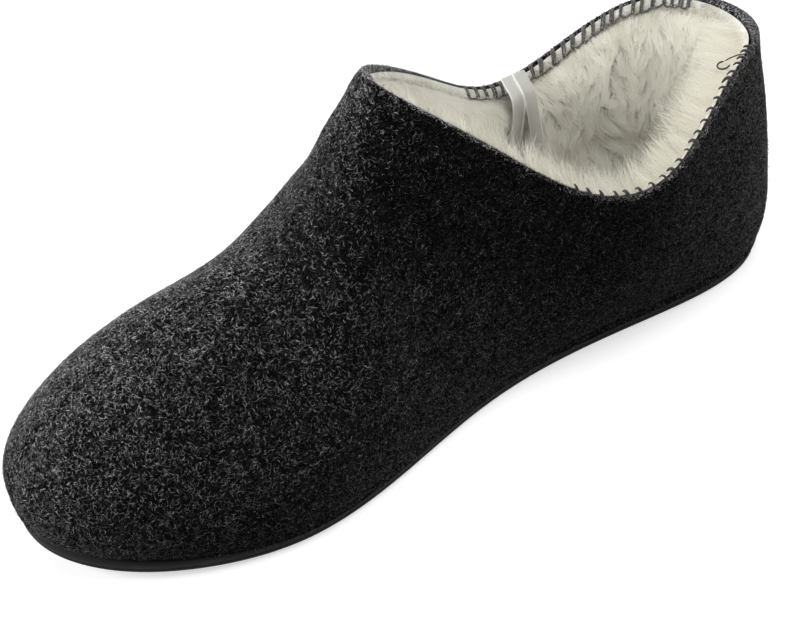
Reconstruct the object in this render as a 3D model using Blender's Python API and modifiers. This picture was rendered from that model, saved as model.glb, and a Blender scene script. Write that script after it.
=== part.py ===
"""Felt slipper for the right foot: outsole, upper, plush lining, insole and a ribbon loop at the collar.

The sizes are in millimetres, measured from the back of the heel on the floor: the toe points to -Y, the
inner side of the foot to +X. An empty carries the parts, in metres, so that the middle of the shoe's box lies
over the origin.
"""

from typing import NamedTuple

import bpy
import numpy as np

METRES_PER_MM = 0.001
GAP = 0.3
WELD_DIGITS = 3
INNER = 1
OUTER = -1

# Feather line, where the upper meets the sole
FEATHER_LENGTH = 252.0
HEEL_RADIUS = 26.0
TOE_RADIUS = 27.0
TOE_SWING = 2.0
SPRING_START = 0.70
TOE_SPRING = 6.0

# Opening and vamp
HEEL_TOP_RADIUS = 16.5
THROAT_RADIUS = 8.0
THROAT_ALONG = 0.50
THROAT_X = -1.5
THROAT_TURN = 0.05
RIDGE_END_ALONG = 0.86
RIDGE_END_X = 2.5

# Thicknesses
FELT = 3.0
FOOT_RISE = 2.0
SOLE = 5.3
PILE = 8.0
PILE_AT_RIM = 6.0
PILE_UNDER_VAMP = 2.5
PILE_AT_CROWN = 1.2
RIM_BAND = 0.2
CROWN_BAND = 0.6
THROAT_BAND = 0.5
LOCK_SHARE = 0.2
INSOLE_LOCK = 1.6

# Points of the meshes
COLLAR_STATIONS = 22
THROAT_CROWDING = 0.25
VAMP_STATIONS = 10
WALL_RISES = 10
PLATE_STATIONS = 34
INSOLE_ACROSS = 6
OUTSOLE_ACROSS = 2
NORMAL_STEP = 1e-4

# Middle of the shoe's box, which the origin lies under
BOX_MIDDLE_X = 1.0
BOX_MIDDLE_Y = -125.2


class FeatherRow(NamedTuple):
    """Half widths of the feather line at a share of its length from the heel."""

    along: float
    inner: float
    outer: float


FEATHER_LINE = (
    FeatherRow(along=0.12, inner=27.0, outer=30.0),
    FeatherRow(along=0.30, inner=26.5, outer=32.0),
    FeatherRow(along=0.45, inner=30.0, outer=37.0),
    FeatherRow(along=0.60, inner=41.0, outer=41.5),
    FeatherRow(along=0.72, inner=46.0, outer=46.0),
    FeatherRow(along=0.86, inner=38.5, outer=35.0),
)


class ToplineRow(NamedTuple):
    """Half width of the opening and height of its edge at a share of the way from the heel to the throat."""

    share: float
    half: float
    height: float


TOPLINE = (
    ToplineRow(share=0.0, half=0.0, height=78.0),
    ToplineRow(share=0.2, half=27.0, height=77.5),
    ToplineRow(share=0.4, half=36.0, height=63.0),
    ToplineRow(share=0.6, half=32.5, height=64.0),
    ToplineRow(share=0.8, half=22.5, height=85.5),
    ToplineRow(share=1.0, half=0.0, height=108.0),
)


class RidgeRow(NamedTuple):
    """Height of the vamp's ridge at a share of the way from the throat to the ridge's end over the toes."""

    share: float
    height: float


RIDGE = (
    RidgeRow(share=0.00, height=108.0),
    RidgeRow(share=0.33, height=70.0),
    RidgeRow(share=0.67, height=60.5),
    RidgeRow(share=1.00, height=51.0),
)


class WallRow(NamedTuple):
    """How the wall bulges between the feather line and the topline or ridge.

    swell is how far the wall leans out over the feather line, lift the share of its height where it does,
    lean how far the collar's edge tips out, and crown the share of the way to the feather line that the vamp
    lies level beside its ridge.
    """

    place: str
    swell: float
    lift: float
    lean: float
    crown: float


WALL = (
    WallRow(place="heel", swell=4.5, lift=0.16, lean=0.6, crown=0.33),
    WallRow(place="side", swell=8.0, lift=0.19, lean=2.5, crown=0.33),
    WallRow(place="throat", swell=4.2, lift=0.17, lean=2.5, crown=0.33),
    WallRow(place="vamp", swell=6.5, lift=0.38, lean=2.5, crown=0.52),
    WallRow(place="toe", swell=4.0, lift=0.40, lean=2.5, crown=0.57),
)
SIDE_PLACE = 0.6
CROWN_START = 0.75
RIM_DROP = 0.35


class EdgeRow(NamedTuple):
    """A step of a plate's edge: how far inside the feather line, and how high above the plate's underside."""

    inset: float
    height: float


OUTSOLE_EDGE = (
    EdgeRow(inset=2.2, height=0.0),
    EdgeRow(inset=1.0, height=1.0),
    EdgeRow(inset=0.8, height=3.8),
    EdgeRow(inset=1.8, height=SOLE),
)
INSOLE_EDGE = (
    EdgeRow(inset=13.0, height=0.0),
    EdgeRow(inset=12.2, height=1.0),
    EdgeRow(inset=12.2, height=5.0),
    EdgeRow(inset=14.5, height=7.0),
)


class RibbonRow(NamedTuple):
    """A point of the ribbon: along the collar to the heel, down from its edge, in from the felt's face."""

    drift: float
    drop: float
    depth: float


RIBBON_STATION = 0.373
RIBBON_HANG_RISE = 0.8
RIBBON_WIDTH = 5.0
RIBBON_THICKNESS = 0.5
RIBBON_STEPS = 36
RIBBON = (
    RibbonRow(drift=-2.65, drop=-4.8, depth=4.4),
    RibbonRow(drift=-2.65, drop=-2.6, depth=7.8),
    RibbonRow(drift=-2.7, drop=0.8, depth=11.2),
    RibbonRow(drift=-2.9, drop=9.0, depth=12.4),
    RibbonRow(drift=-3.0, drop=18.0, depth=12.8),
    RibbonRow(drift=-2.0, drop=26.0, depth=13.8),
    RibbonRow(drift=1.2, drop=29.5, depth=15.4),
    RibbonRow(drift=4.2, drop=26.0, depth=16.6),
    RibbonRow(drift=5.0, drop=18.0, depth=16.0),
    RibbonRow(drift=4.0, drop=9.0, depth=14.0),
    RibbonRow(drift=2.8, drop=0.8, depth=11.4),
    RibbonRow(drift=2.65, drop=-2.6, depth=8.0),
    RibbonRow(drift=2.65, drop=-4.8, depth=4.4),
)


class Finish(NamedTuple):
    """Colour and roughness of a material."""

    name: str
    colour: tuple
    roughness: float


FELT_GREY = Finish(name="charcoal_felt", colour=(0.035, 0.035, 0.038, 1.0), roughness=0.95)
PLUSH_WHITE = Finish(name="white_plush", colour=(0.78, 0.76, 0.70, 1.0), roughness=0.9)
RUBBER_BLACK = Finish(name="black_rubber", colour=(0.012, 0.012, 0.013, 1.0), roughness=0.6)
SATIN_WHITE = Finish(name="white_satin", colour=(0.8, 0.8, 0.78, 1.0), roughness=0.35)


def smooth_curve(places, values):
    """Return the natural cubic spline through the values, as a function of the place."""
    places = np.asarray(places, dtype=float)
    values = np.asarray(values, dtype=float)
    steps = np.diff(places)
    slopes = np.diff(values) / steps
    count = len(places)
    system = np.eye(count)
    change = np.zeros(count)
    for row in range(1, count - 1):
        system[row, row - 1:row + 2] = steps[row - 1], 2 * (steps[row - 1] + steps[row]), steps[row]
        change[row] = 6 * (slopes[row] - slopes[row - 1])
    bends = np.linalg.solve(system, change)

    def curve(place):
        place = np.asarray(place, dtype=float)
        k = np.clip(np.searchsorted(places, place) - 1, 0, count - 2)
        ahead = places[k + 1] - place
        behind = place - places[k]
        cubic = (bends[k] * ahead ** 3 + bends[k + 1] * behind ** 3) / (6 * steps[k])
        start = (values[k] / steps[k] - bends[k] * steps[k] / 6) * ahead
        end = (values[k + 1] / steps[k] - bends[k + 1] * steps[k] / 6) * behind
        return cubic + start + end

    return curve


def round_ended(shares, halves, first_radius, last_radius, length):
    """Return the half width of an outline through the given halves, with round ends of the given radii."""
    shares = np.asarray(shares)
    ends = np.sqrt(np.array((first_radius, last_radius)) * length / 2)
    middles = np.asarray(halves) / (2 * np.sqrt(shares * (1 - shares)))
    fullness = smooth_curve((0.0, *shares, 1.0), (ends[0], *middles, ends[1]))

    def half(share):
        return 2 * np.sqrt(share * (1 - share)) * fullness(share)

    return half


def ease(share):
    """Return a share between 0 and 1 that starts and ends gently."""
    share = np.clip(share, 0, 1)
    return share * share * (3 - 2 * share)


def mix(first, second, share):
    """Return the value that lies at a share of the way from the first to the second."""
    return first + (second - first) * share


FEATHER_SHARES = [row.along for row in FEATHER_LINE]
FEATHER_HALF = {
    side: round_ended(FEATHER_SHARES, halves, HEEL_RADIUS, TOE_RADIUS, FEATHER_LENGTH)
    for side, halves in (
        (INNER, [row.inner for row in FEATHER_LINE]),
        (OUTER, [row.outer for row in FEATHER_LINE]),
    )
}
OPENING_HALF = round_ended(
    [row.share for row in TOPLINE[1:-1]],
    [row.half for row in TOPLINE[1:-1]],
    HEEL_TOP_RADIUS,
    THROAT_RADIUS,
    THROAT_ALONG * FEATHER_LENGTH,
)
TOPLINE_HEIGHT = smooth_curve([row.share for row in TOPLINE], [row.height for row in TOPLINE])
RIDGE_HEIGHT = smooth_curve([row.share for row in RIDGE], [row.height for row in RIDGE])
THROAT_STATION = np.arccos(1 - 2 * THROAT_ALONG / RIDGE_END_ALONG) / np.pi
WALL_STATIONS = (0.0, SIDE_PLACE * THROAT_STATION, THROAT_STATION, (1 + THROAT_STATION) / 2, 1.0)
SWELL, LIFT, LEAN, CROWN = (
    smooth_curve(WALL_STATIONS, [getattr(row, column) for row in WALL])
    for column in ("swell", "lift", "lean", "crown")
)


def feather_share(station):
    """Return the share of the feather line's length at a station from 0, heel, to 1, toe."""
    return (1 - np.cos(np.pi * station)) / 2


def spring_at(share):
    """Return how far the toe spring lifts the sole at a share of its length."""
    return TOE_SPRING * np.clip((share - SPRING_START) / (1 - SPRING_START), 0, 1) ** 2


def feather_plan(side, station):
    """Return the feather line of one side from above."""
    share = feather_share(station)
    return np.stack([TOE_SWING * share ** 2 + side * FEATHER_HALF[side](share), -FEATHER_LENGTH * share], -1)


def feather_outward(side, station):
    """Return the directions that point out of the feather line of one side from above."""
    before = feather_plan(side, np.clip(station - NORMAL_STEP, 0, 1))
    after = feather_plan(side, np.clip(station + NORMAL_STEP, 0, 1))
    run = after - before
    outward = side * np.stack([-run[..., 1], run[..., 0]], -1)
    outward[station <= 0] = 0.0, 1.0
    outward[station >= 1] = 0.0, -1.0
    return outward / np.linalg.norm(outward, axis=-1, keepdims=True)


def crest_line(side, station):
    """Return the topline of one side as far as the throat, and from there the ridge of the vamp."""
    along = RIDGE_END_ALONG * feather_share(station)
    share = np.clip(along / THROAT_ALONG, 0, 1)
    ahead = np.clip((along - THROAT_ALONG) / (RIDGE_END_ALONG - THROAT_ALONG), 0, 1)
    on_vamp = station >= THROAT_STATION
    turn = np.abs(station - THROAT_STATION) / THROAT_TURN
    share = 1 - (1 - share) * (1 - np.exp(-turn ** 3))
    ahead = ahead * (1 - np.exp(-turn))
    along = THROAT_ALONG * share + (RIDGE_END_ALONG - THROAT_ALONG) * ahead
    ridge_x = THROAT_X + (RIDGE_END_X - THROAT_X) * ahead
    x = np.where(on_vamp, ridge_x, THROAT_X * share + side * OPENING_HALF(share))
    z = np.where(on_vamp, RIDGE_HEIGHT(ahead), TOPLINE_HEIGHT(share))
    fall = RIDGE_HEIGHT(ahead - NORMAL_STEP) - RIDGE_HEIGHT(ahead + NORMAL_STEP)
    slope = fall / (2 * NORMAL_STEP * (RIDGE_END_ALONG - THROAT_ALONG) * FEATHER_LENGTH)
    return np.stack([x, -FEATHER_LENGTH * along, z], -1), slope


def wall(side, station, rise):
    """Return the outer face of the felt on one side: for each station, points at each rise up the wall.

    A rise runs from 0 above the feather line to 1 at the topline or the ridge, and the straight foot of the
    wall comes before the first of them.
    """
    outward = feather_outward(side, station)
    foot = np.column_stack([feather_plan(side, station), SOLE + GAP + spring_at(feather_share(station))])
    start = foot + (0, 0, FOOT_RISE)
    crest, slope = crest_line(side, station)
    height = crest[:, 2] - start[:, 2]
    reach = start[:, :2] - crest[:, :2]
    width = np.maximum(np.linalg.norm(reach, axis=1), NORMAL_STEP)
    crowned = ease((station / THROAT_STATION - CROWN_START) / (1 - CROWN_START))
    level = CROWN(station) * width
    tip = LEAN(station) * (1 - crowned) + level * crowned
    drop = RIM_DROP * height * (1 - crowned) + slope * np.abs(reach[:, 1]) / width * level * crowned
    tip_way = outward * (1 - crowned)[:, None] + reach / width[:, None] * crowned[:, None]
    low = start + np.column_stack([outward * SWELL(station)[:, None], LIFT(station) * height])
    high = crest + np.column_stack([tip_way * tip[:, None], -drop])
    u = rise[None, :, None]
    weights = ((1 - u) ** 3, 3 * u * (1 - u) ** 2, 3 * u * u * (1 - u), u ** 3)
    curve = sum(weight * points[:, None] for weight, points in zip(weights, (start, low, high, crest)))
    return np.concatenate([foot[:, None], curve], axis=1)


def wall_stations():
    """Return the stations of the wall's columns, closest together at the throat."""
    share = np.linspace(0, 1, COLLAR_STATIONS + 1)
    collar = THROAT_STATION * mix(share, np.sin(np.pi / 2 * share), THROAT_CROWDING)
    return np.concatenate([collar, np.linspace(THROAT_STATION, 1, VAMP_STATIONS + 1)[1:]])


class Patchwork:
    """Grids of points that are sewn into one mesh where their points coincide."""

    def __init__(self):
        """Start with no points."""
        self.points = []
        self.faces = []
        self.numbers = {}

    def number(self, point):
        """Return the number of a point, the same one for each grid that holds it."""
        key = tuple(np.round(point, WELD_DIGITS) + 0.0)
        if key not in self.numbers:
            self.numbers[key] = len(self.points)
            self.points.append(key)
        return self.numbers[key]

    def sew(self, grid, flip=False):
        """Add the faces of a grid, and return the numbers of its points."""
        numbers = [[self.number(point) for point in column] for column in grid]
        for left, right in zip(numbers, numbers[1:]):
            for k in range(len(left) - 1):
                ring = left[k], right[k], right[k + 1], left[k + 1]
                ring = [corner for place, corner in enumerate(ring) if corner != ring[place - 1]]
                if len(ring) > 2:
                    self.faces.append(ring[::-1] if flip else ring)
        return numbers

    def mesh(self, name):
        """Return the sewn mesh in metres."""
        mesh = bpy.data.meshes.new(name)
        mesh.from_pydata(np.array(self.points) * METRES_PER_MM, [], self.faces)
        mesh.validate()
        return mesh


def wall_patchwork():
    """Return the sewn outer face of the felt, with the numbers of its points for each side."""
    station = wall_stations()
    rise = np.linspace(0, 1, WALL_RISES + 1)
    patchwork = Patchwork()
    numbers = {side: patchwork.sew(wall(side, station, rise), flip=side == INNER) for side in (INNER, OUTER)}
    return patchwork, numbers


def pile_depth(column, row):
    """Return the plush's depth at a column and row of the wall, where every second point is a lock."""
    station = wall_stations()[column]
    rise = (row - 1) / WALL_RISES
    under_vamp = ease((station / THROAT_STATION - CROWN_START) / (1 - CROWN_START))
    near_throat = under_vamp * ease((1 - station) / (1 - THROAT_STATION) / THROAT_BAND - THROAT_BAND)
    at_rim = ease((rise - 1) / RIM_BAND + 1)
    at_crown = near_throat * ease((rise - 1) / CROWN_BAND + 1)
    depth = mix(mix(PILE, PILE_AT_RIM, at_rim), PILE_UNDER_VAMP, under_vamp)
    return mix(depth, PILE_AT_CROWN, at_crown) * (1 - LOCK_SHARE * ((column + row) % 2))


def new_part(name, mesh, finish, parent):
    """Return a part with its mesh and material, carried by the empty."""
    part = bpy.data.objects.new(name, mesh)
    part.parent = parent
    material = bpy.data.materials.new(finish.name)
    material.use_nodes = True
    shader = material.node_tree.nodes["Principled BSDF"]
    shader.inputs["Base Color"].default_value = finish.colour
    shader.inputs["Roughness"].default_value = finish.roughness
    shader.inputs["Metallic"].default_value = 0.0
    mesh.materials.append(material)
    mesh.shade_smooth()
    parent.users_collection[0].objects.link(part)
    return part


def thicken(part, thickness, offset=-1.0):
    """Give an open face its thickness, on its inner side unless an offset says otherwise."""
    shell = part.modifiers.new("thickness", "SOLIDIFY")
    shell.thickness = thickness * METRES_PER_MM
    shell.offset = offset
    shell.use_even_offset = False
    return shell


def three_sided(part):
    """Split the part's faces in the same way on each layer, so that neighbouring layers lie level."""
    split = part.modifiers.new("facets", "TRIANGULATE")
    split.quad_method = "BEAUTY"
    split.min_vertices = 4


def make_upper(parent):
    """Return the felt upper, open at the collar and over the sole."""
    patchwork, _ = wall_patchwork()
    upper = new_part("upper", patchwork.mesh("upper"), FELT_GREY, parent)
    three_sided(upper)
    thicken(upper, FELT)
    return upper


def make_lining(parent):
    """Return the plush lining inside the felt, with its pile in locks."""
    patchwork, numbers = wall_patchwork()
    lining = new_part("fur_lining", patchwork.mesh("fur_lining"), PLUSH_WHITE, parent)
    depths = lining.vertex_groups.new(name="pile")
    for side_numbers in numbers.values():
        for column, points in enumerate(side_numbers):
            for row, point in enumerate(points):
                depths.add([point], pile_depth(column, row) / PILE, "REPLACE")
    three_sided(lining)
    inset = lining.modifiers.new("inside_felt", "DISPLACE")
    inset.mid_level = 0.0
    inset.strength = -(FELT + GAP) * METRES_PER_MM
    pile = thicken(lining, PILE)
    pile.vertex_group = depths.name
    return lining


def plate_mesh(name, edge, bottom, across, lock_lift):
    """Return a plate that follows the feather line and the toe spring, with its edge in steps."""
    station = np.linspace(0, 1, PLATE_STATIONS + 1)
    loops = {}
    for side in (INNER, OUTER):
        rows = []
        for row in edge:
            plan = feather_plan(side, station) - row.inset * feather_outward(side, station)
            height = bottom + row.height + spring_at(-plan[:, 1] / FEATHER_LENGTH)
            rows.append(np.column_stack([plan, height]))
        loops[side] = np.stack(rows, axis=1)
    plate = Patchwork()
    for side in (INNER, OUTER):
        plate.sew(loops[side], flip=side == INNER)
    share = np.linspace(0, 1, across + 1)[None, :, None]
    for row, is_top in ((0, False), (-1, True)):
        grid = loops[OUTER][:, row, None] * (1 - share) + loops[INNER][:, row, None] * share
        columns, ranks = np.indices(grid.shape[:2])
        inside = (ranks > 0) & (ranks < across) & (columns > 0) & (columns < PLATE_STATIONS)
        grid[..., 2] += lock_lift * is_top * inside * ((columns + ranks) % 2)
        plate.sew(grid, flip=not is_top)
    return plate.mesh(name)


def make_outsole(parent):
    """Return the thin rubber outsole."""
    mesh = plate_mesh("outsole", OUTSOLE_EDGE, bottom=0.0, across=OUTSOLE_ACROSS, lock_lift=0.0)
    return new_part("outsole", mesh, RUBBER_BLACK, parent)


def make_insole(parent):
    """Return the plush insole, which lies on the outsole inside the lining."""
    on_sole = SOLE + GAP
    mesh = plate_mesh("insole", INSOLE_EDGE, bottom=on_sole, across=INSOLE_ACROSS, lock_lift=INSOLE_LOCK)
    return new_part("insole", mesh, PLUSH_WHITE, parent)


def ribbon_frame():
    """Return the point of the outer topline with the ribbon, and the ways to the heel, down and in."""
    step = np.array((RIBBON_STATION - NORMAL_STEP, RIBBON_STATION, RIBBON_STATION + NORMAL_STEP))
    columns = wall(OUTER, step, np.array((RIBBON_HANG_RISE, 1.0)))
    edge = columns[1, -1]
    to_heel = columns[0, -1] - columns[2, -1]
    to_heel /= np.linalg.norm(to_heel)
    down = columns[1, -2] - edge
    down -= to_heel * (down @ to_heel)
    down /= np.linalg.norm(down)
    return edge, to_heel, down, np.cross(down, to_heel)


def make_ribbon(parent):
    """Return the ribbon loop, which hangs in front of the plush from the edge of the collar's outer side."""
    edge, to_heel, down, inward = ribbon_frame()
    share = np.linspace(0, 1, len(RIBBON))
    drift, drop, depth = (
        smooth_curve(share, [getattr(row, column) for row in RIBBON])(np.linspace(0, 1, RIBBON_STEPS + 1))
        for column in ("drift", "drop", "depth")
    )
    middle = edge + drift[:, None] * to_heel + drop[:, None] * down + depth[:, None] * inward
    strip = Patchwork()
    half = to_heel * RIBBON_WIDTH / 2
    strip.sew(np.stack([middle - half, middle + half], axis=1))
    ribbon = new_part("ribbon_loop", strip.mesh("ribbon_loop"), SATIN_WHITE, parent)
    thicken(ribbon, RIBBON_THICKNESS, offset=0.0)
    return ribbon


def main():
    """Clear the scene and make the slipper."""
    for item in list(bpy.data.objects):
        bpy.data.objects.remove(item, do_unlink=True)
    collection = bpy.data.collections.new("felt_slipper")
    bpy.context.scene.collection.children.link(collection)
    middle = bpy.data.objects.new("slipper_middle", None)
    middle.location = (-BOX_MIDDLE_X * METRES_PER_MM, -BOX_MIDDLE_Y * METRES_PER_MM, 0.0)
    collection.objects.link(middle)
    for make in (make_outsole, make_upper, make_lining, make_insole, make_ribbon):
        make(middle)


if __name__ == "__main__":
    main()
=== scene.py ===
"""Looks of a felt slipper for the right foot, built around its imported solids.

Sizes are in millimetres from the back of the heel on the floor, with the toe to -Y and the inner side of the
foot to +X. Last.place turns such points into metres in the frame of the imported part. Finishes have depths in
metres and scales per metre.
"""

import logging
import math
from dataclasses import dataclass, field
from enum import Enum
from typing import Any, NamedTuple, Sequence

import bpy
import numpy as np
from mathutils import Matrix, Vector, noise
from mathutils.kdtree import KDTree


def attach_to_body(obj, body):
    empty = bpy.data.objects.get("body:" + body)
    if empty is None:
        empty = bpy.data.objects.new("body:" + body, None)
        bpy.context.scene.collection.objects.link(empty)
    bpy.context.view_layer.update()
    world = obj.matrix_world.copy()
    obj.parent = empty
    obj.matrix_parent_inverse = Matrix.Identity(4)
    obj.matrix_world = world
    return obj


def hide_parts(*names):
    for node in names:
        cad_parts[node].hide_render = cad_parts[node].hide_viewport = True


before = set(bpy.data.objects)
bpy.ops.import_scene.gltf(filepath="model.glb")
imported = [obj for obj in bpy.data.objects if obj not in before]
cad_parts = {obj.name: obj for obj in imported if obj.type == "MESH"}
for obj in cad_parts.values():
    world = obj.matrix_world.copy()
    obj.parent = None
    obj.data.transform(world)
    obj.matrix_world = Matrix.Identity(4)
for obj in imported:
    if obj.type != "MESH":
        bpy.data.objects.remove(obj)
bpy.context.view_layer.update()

LOG = logging.getLogger("slipper")
BODY = "root"
MM = 0.001
WELD_DIGITS = 3
TINY = 1e-9
STEP = 1e-4
UP = np.array((0.0, 0.0, 1.0))
Array = np.ndarray
Chance = np.random.Generator
Piece = bpy.types.Object
Material = bpy.types.Material
Socket = bpy.types.NodeSocket
Colour = tuple[float, float, float, float]
Stops = tuple[tuple[float, Colour], ...]


class Side(Enum):
    """The two sides of the foot, with the sign of their X."""

    INNER = 1
    OUTER = -1


class Slot(Enum):
    """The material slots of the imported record."""

    FELT = "charcoal_felt"
    PLUSH = "white_plush"
    RUBBER = "black_rubber"
    SATIN = "white_satin"


def unit(vectors: Array) -> Array:
    """Return the vectors with a length of one."""
    return vectors / np.maximum(np.linalg.norm(vectors, axis=-1, keepdims=True), TINY)


def ease(share: Array) -> Array:
    """Return a share between 0 and 1 that starts and ends gently."""
    share = np.clip(share, 0, 1)
    return share * share * (3 - 2 * share)


def mix(first: Any, second: Any, share: Any) -> Any:
    """Return the value that lies at a share of the way from the first to the second."""
    return first + (second - first) * share


def drift_at(points: Array, size: float, shift: float) -> Array:
    """Return a smooth drift between about -1 and 1 over points.

    Args:
        points: Where the drift is wanted.
        size: How far apart its swells lie.
        shift: A number that sets one drift apart from another.

    Returns:
        The drift at each point.
    """
    return np.array([noise.noise(Vector(point)) for point in points / size + shift])


class Spline:
    """A natural cubic spline through values at places."""

    def __init__(self, places: Sequence[float], values: Sequence[float]) -> None:
        """Work out the bends of the spline.

        Args:
            places: Where the values hold, from low to high.
            values: The values to pass through.
        """
        self.places = np.asarray(places, dtype=float)
        self.values = np.asarray(values, dtype=float)
        self.steps = np.diff(self.places)
        slopes = np.diff(self.values) / self.steps
        count = len(self.places)
        system = np.eye(count)
        change = np.zeros(count)
        for row in range(1, count - 1):
            before, after = self.steps[row - 1:row + 1]
            system[row, row - 1:row + 2] = before, 2 * (before + after), after
            change[row] = 6 * (slopes[row] - slopes[row - 1])
        self.bends = np.linalg.solve(system, change)

    def __call__(self, place: Any) -> Array:
        """Return the spline's values at places.

        Args:
            place: The places.

        Returns:
            The value at each place.
        """
        place = np.asarray(place, dtype=float)
        k = np.clip(np.searchsorted(self.places, place) - 1, 0, len(self.steps) - 1)
        step = self.steps[k]
        ahead = self.places[k + 1] - place
        behind = place - self.places[k]
        cubic = (self.bends[k] * ahead ** 3 + self.bends[k + 1] * behind ** 3) / (6 * step)
        start = (self.values[k] / step - self.bends[k] * step / 6) * ahead
        end = (self.values[k + 1] / step - self.bends[k + 1] * step / 6) * behind
        return cubic + start + end


def curve_through(knots: Array, shares: Array) -> Array:
    """Return points at shares of the way along a smooth curve through knots that are evenly spread on it."""
    places = np.linspace(0, 1, len(knots))
    return np.stack([Spline(places, column)(shares) for column in knots.T], -1)


class RoundEnded:
    """Half width of an outline through given halves, with round ends."""

    def __init__(self, shares: Sequence[float], halves: Sequence[float], radii: tuple[float, float],
                 length: float) -> None:
        """Fit the outline.

        Args:
            shares: Shares of the length where the halves hold.
            halves: The half widths there.
            radii: The radii of the first and the last end.
            length: The outline's length.
        """
        places = np.asarray(shares)
        ends = np.sqrt(np.array(radii) * length / 2)
        middles = np.asarray(halves) / (2 * np.sqrt(places * (1 - places)))
        self.fullness = Spline((0.0, *places, 1.0), (ends[0], *middles, ends[1]))

    def __call__(self, share: Array) -> Array:
        """Return the half widths at shares of the length."""
        return 2 * np.sqrt(np.clip(share * (1 - share), 0, 1)) * self.fullness(share)


class FeatherRow(NamedTuple):
    """Half widths of the feather line at a share of its length from the heel."""

    along: float
    inner: float
    outer: float


class ToplineRow(NamedTuple):
    """Half width of the opening and height of its edge at a share of the way from the heel to the throat."""

    share: float
    half: float
    height: float


class RidgeRow(NamedTuple):
    """Height of the vamp's ridge at a share of the way from the throat to the ridge's end."""

    share: float
    height: float


class WallRow(NamedTuple):
    """How the wall bulges, from the heel over the side, throat and vamp to the toe."""

    swell: float
    lift: float
    lean: float
    crown: float


@dataclass
class Last:
    """The slipper's form: feather line, topline, ridge and the wall between them."""

    # Feather line and sole
    length: float = 252.0
    heel_radius: float = 26.0
    toe_radius: float = 27.0
    toe_swing: float = 2.0
    spring_start: float = 0.70
    toe_spring: float = 6.0
    sole: float = 5.3
    gap: float = 0.3
    foot_rise: float = 2.0
    # Topline, throat and ridge, with places along as shares of the length
    heel_top_radius: float = 16.5
    throat_radius: float = 8.0
    throat_along: float = 0.50
    throat_x: float = -1.5
    throat_turn: float = 0.05
    ridge_end_along: float = 0.86
    ridge_end_x: float = 2.5
    # Wall between feather line and crest
    side_place: float = 0.6
    crown_start: float = 0.75
    rim_drop: float = 0.35
    crowding: float = 0.25
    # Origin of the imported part
    box_middle: tuple[float, float, float] = (1.0, -125.2, 0.0)
    feather: tuple[FeatherRow, ...] = (
        FeatherRow(along=0.12, inner=27.0, outer=30.0),
        FeatherRow(along=0.30, inner=26.5, outer=32.0),
        FeatherRow(along=0.45, inner=30.0, outer=37.0),
        FeatherRow(along=0.60, inner=41.0, outer=41.5),
        FeatherRow(along=0.72, inner=46.0, outer=46.0),
        FeatherRow(along=0.86, inner=38.5, outer=35.0),
    )
    topline: tuple[ToplineRow, ...] = (
        ToplineRow(share=0.0, half=0.0, height=78.0),
        ToplineRow(share=0.2, half=27.0, height=77.5),
        ToplineRow(share=0.4, half=36.0, height=63.0),
        ToplineRow(share=0.6, half=32.5, height=64.0),
        ToplineRow(share=0.8, half=22.5, height=85.5),
        ToplineRow(share=1.0, half=0.0, height=108.0),
    )
    ridge: tuple[RidgeRow, ...] = (
        RidgeRow(share=0.00, height=108.0),
        RidgeRow(share=0.33, height=70.0),
        RidgeRow(share=0.67, height=60.5),
        RidgeRow(share=1.00, height=51.0),
    )
    walls: tuple[WallRow, ...] = (
        WallRow(swell=4.5, lift=0.16, lean=0.6, crown=0.33),
        WallRow(swell=8.0, lift=0.19, lean=2.5, crown=0.33),
        WallRow(swell=4.2, lift=0.17, lean=2.5, crown=0.33),
        WallRow(swell=6.5, lift=0.38, lean=2.5, crown=0.52),
        WallRow(swell=4.0, lift=0.40, lean=2.5, crown=0.57),
    )
    throat_station: float = field(init=False)

    def __post_init__(self) -> None:
        """Fit the curves through the rows."""
        ends = self.heel_radius, self.toe_radius
        along = [row.along for row in self.feather]
        self.feather_half = {
            Side.INNER: RoundEnded(along, [row.inner for row in self.feather], ends, self.length),
            Side.OUTER: RoundEnded(along, [row.outer for row in self.feather], ends, self.length),
        }
        inside = self.topline[1:-1]
        self.opening_half = RoundEnded(
            [row.share for row in inside],
            [row.half for row in inside],
            (self.heel_top_radius, self.throat_radius),
            self.throat_along * self.length,
        )
        self.topline_height = Spline([r.share for r in self.topline], [r.height for r in self.topline])
        self.ridge_height = Spline([r.share for r in self.ridge], [r.height for r in self.ridge])
        self.throat_station = math.acos(1 - 2 * self.throat_along / self.ridge_end_along) / math.pi
        throat = self.throat_station
        places = (0.0, self.side_place * throat, throat, (1 + throat) / 2, 1.0)
        self.swell, self.lift, self.lean, self.crown = (
            Spline(places, [getattr(row, column) for row in self.walls]) for column in WallRow._fields
        )

    def place(self, points: Array) -> Array:
        """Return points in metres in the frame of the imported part."""
        return (points - np.array(self.box_middle)) * MM

    def feather_share(self, station: Array) -> Array:
        """Return the share of the feather line's length at a station from 0, heel, to 1, toe."""
        return (1 - np.cos(np.pi * station)) / 2

    def spring_at(self, share: Array) -> Array:
        """Return how far the toe spring lifts the sole at a share of its length."""
        return self.toe_spring * np.clip((share - self.spring_start) / (1 - self.spring_start), 0, 1) ** 2

    def plan(self, side: Side, station: Array) -> Array:
        """Return the feather line of one side from above.

        Args:
            side: The side of the foot.
            station: Stations from the heel to the toe.

        Returns:
            Points from above.
        """
        share = self.feather_share(station)
        x = self.toe_swing * share ** 2 + side.value * self.feather_half[side](share)
        return np.stack([x, -self.length * share], -1)

    def outward(self, side: Side, station: Array) -> Array:
        """Return the directions that point out of the feather line of one side from above.

        Args:
            side: The side of the foot.
            station: Stations from the heel to the toe.

        Returns:
            Directions of length one.
        """
        run = self.plan(side, np.clip(station + STEP, 0, 1)) - self.plan(side, np.clip(station - STEP, 0, 1))
        outward = side.value * np.stack([-run[..., 1], run[..., 0]], -1)
        outward[station <= 0] = 0.0, 1.0
        outward[station >= 1] = 0.0, -1.0
        return unit(outward)

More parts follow.
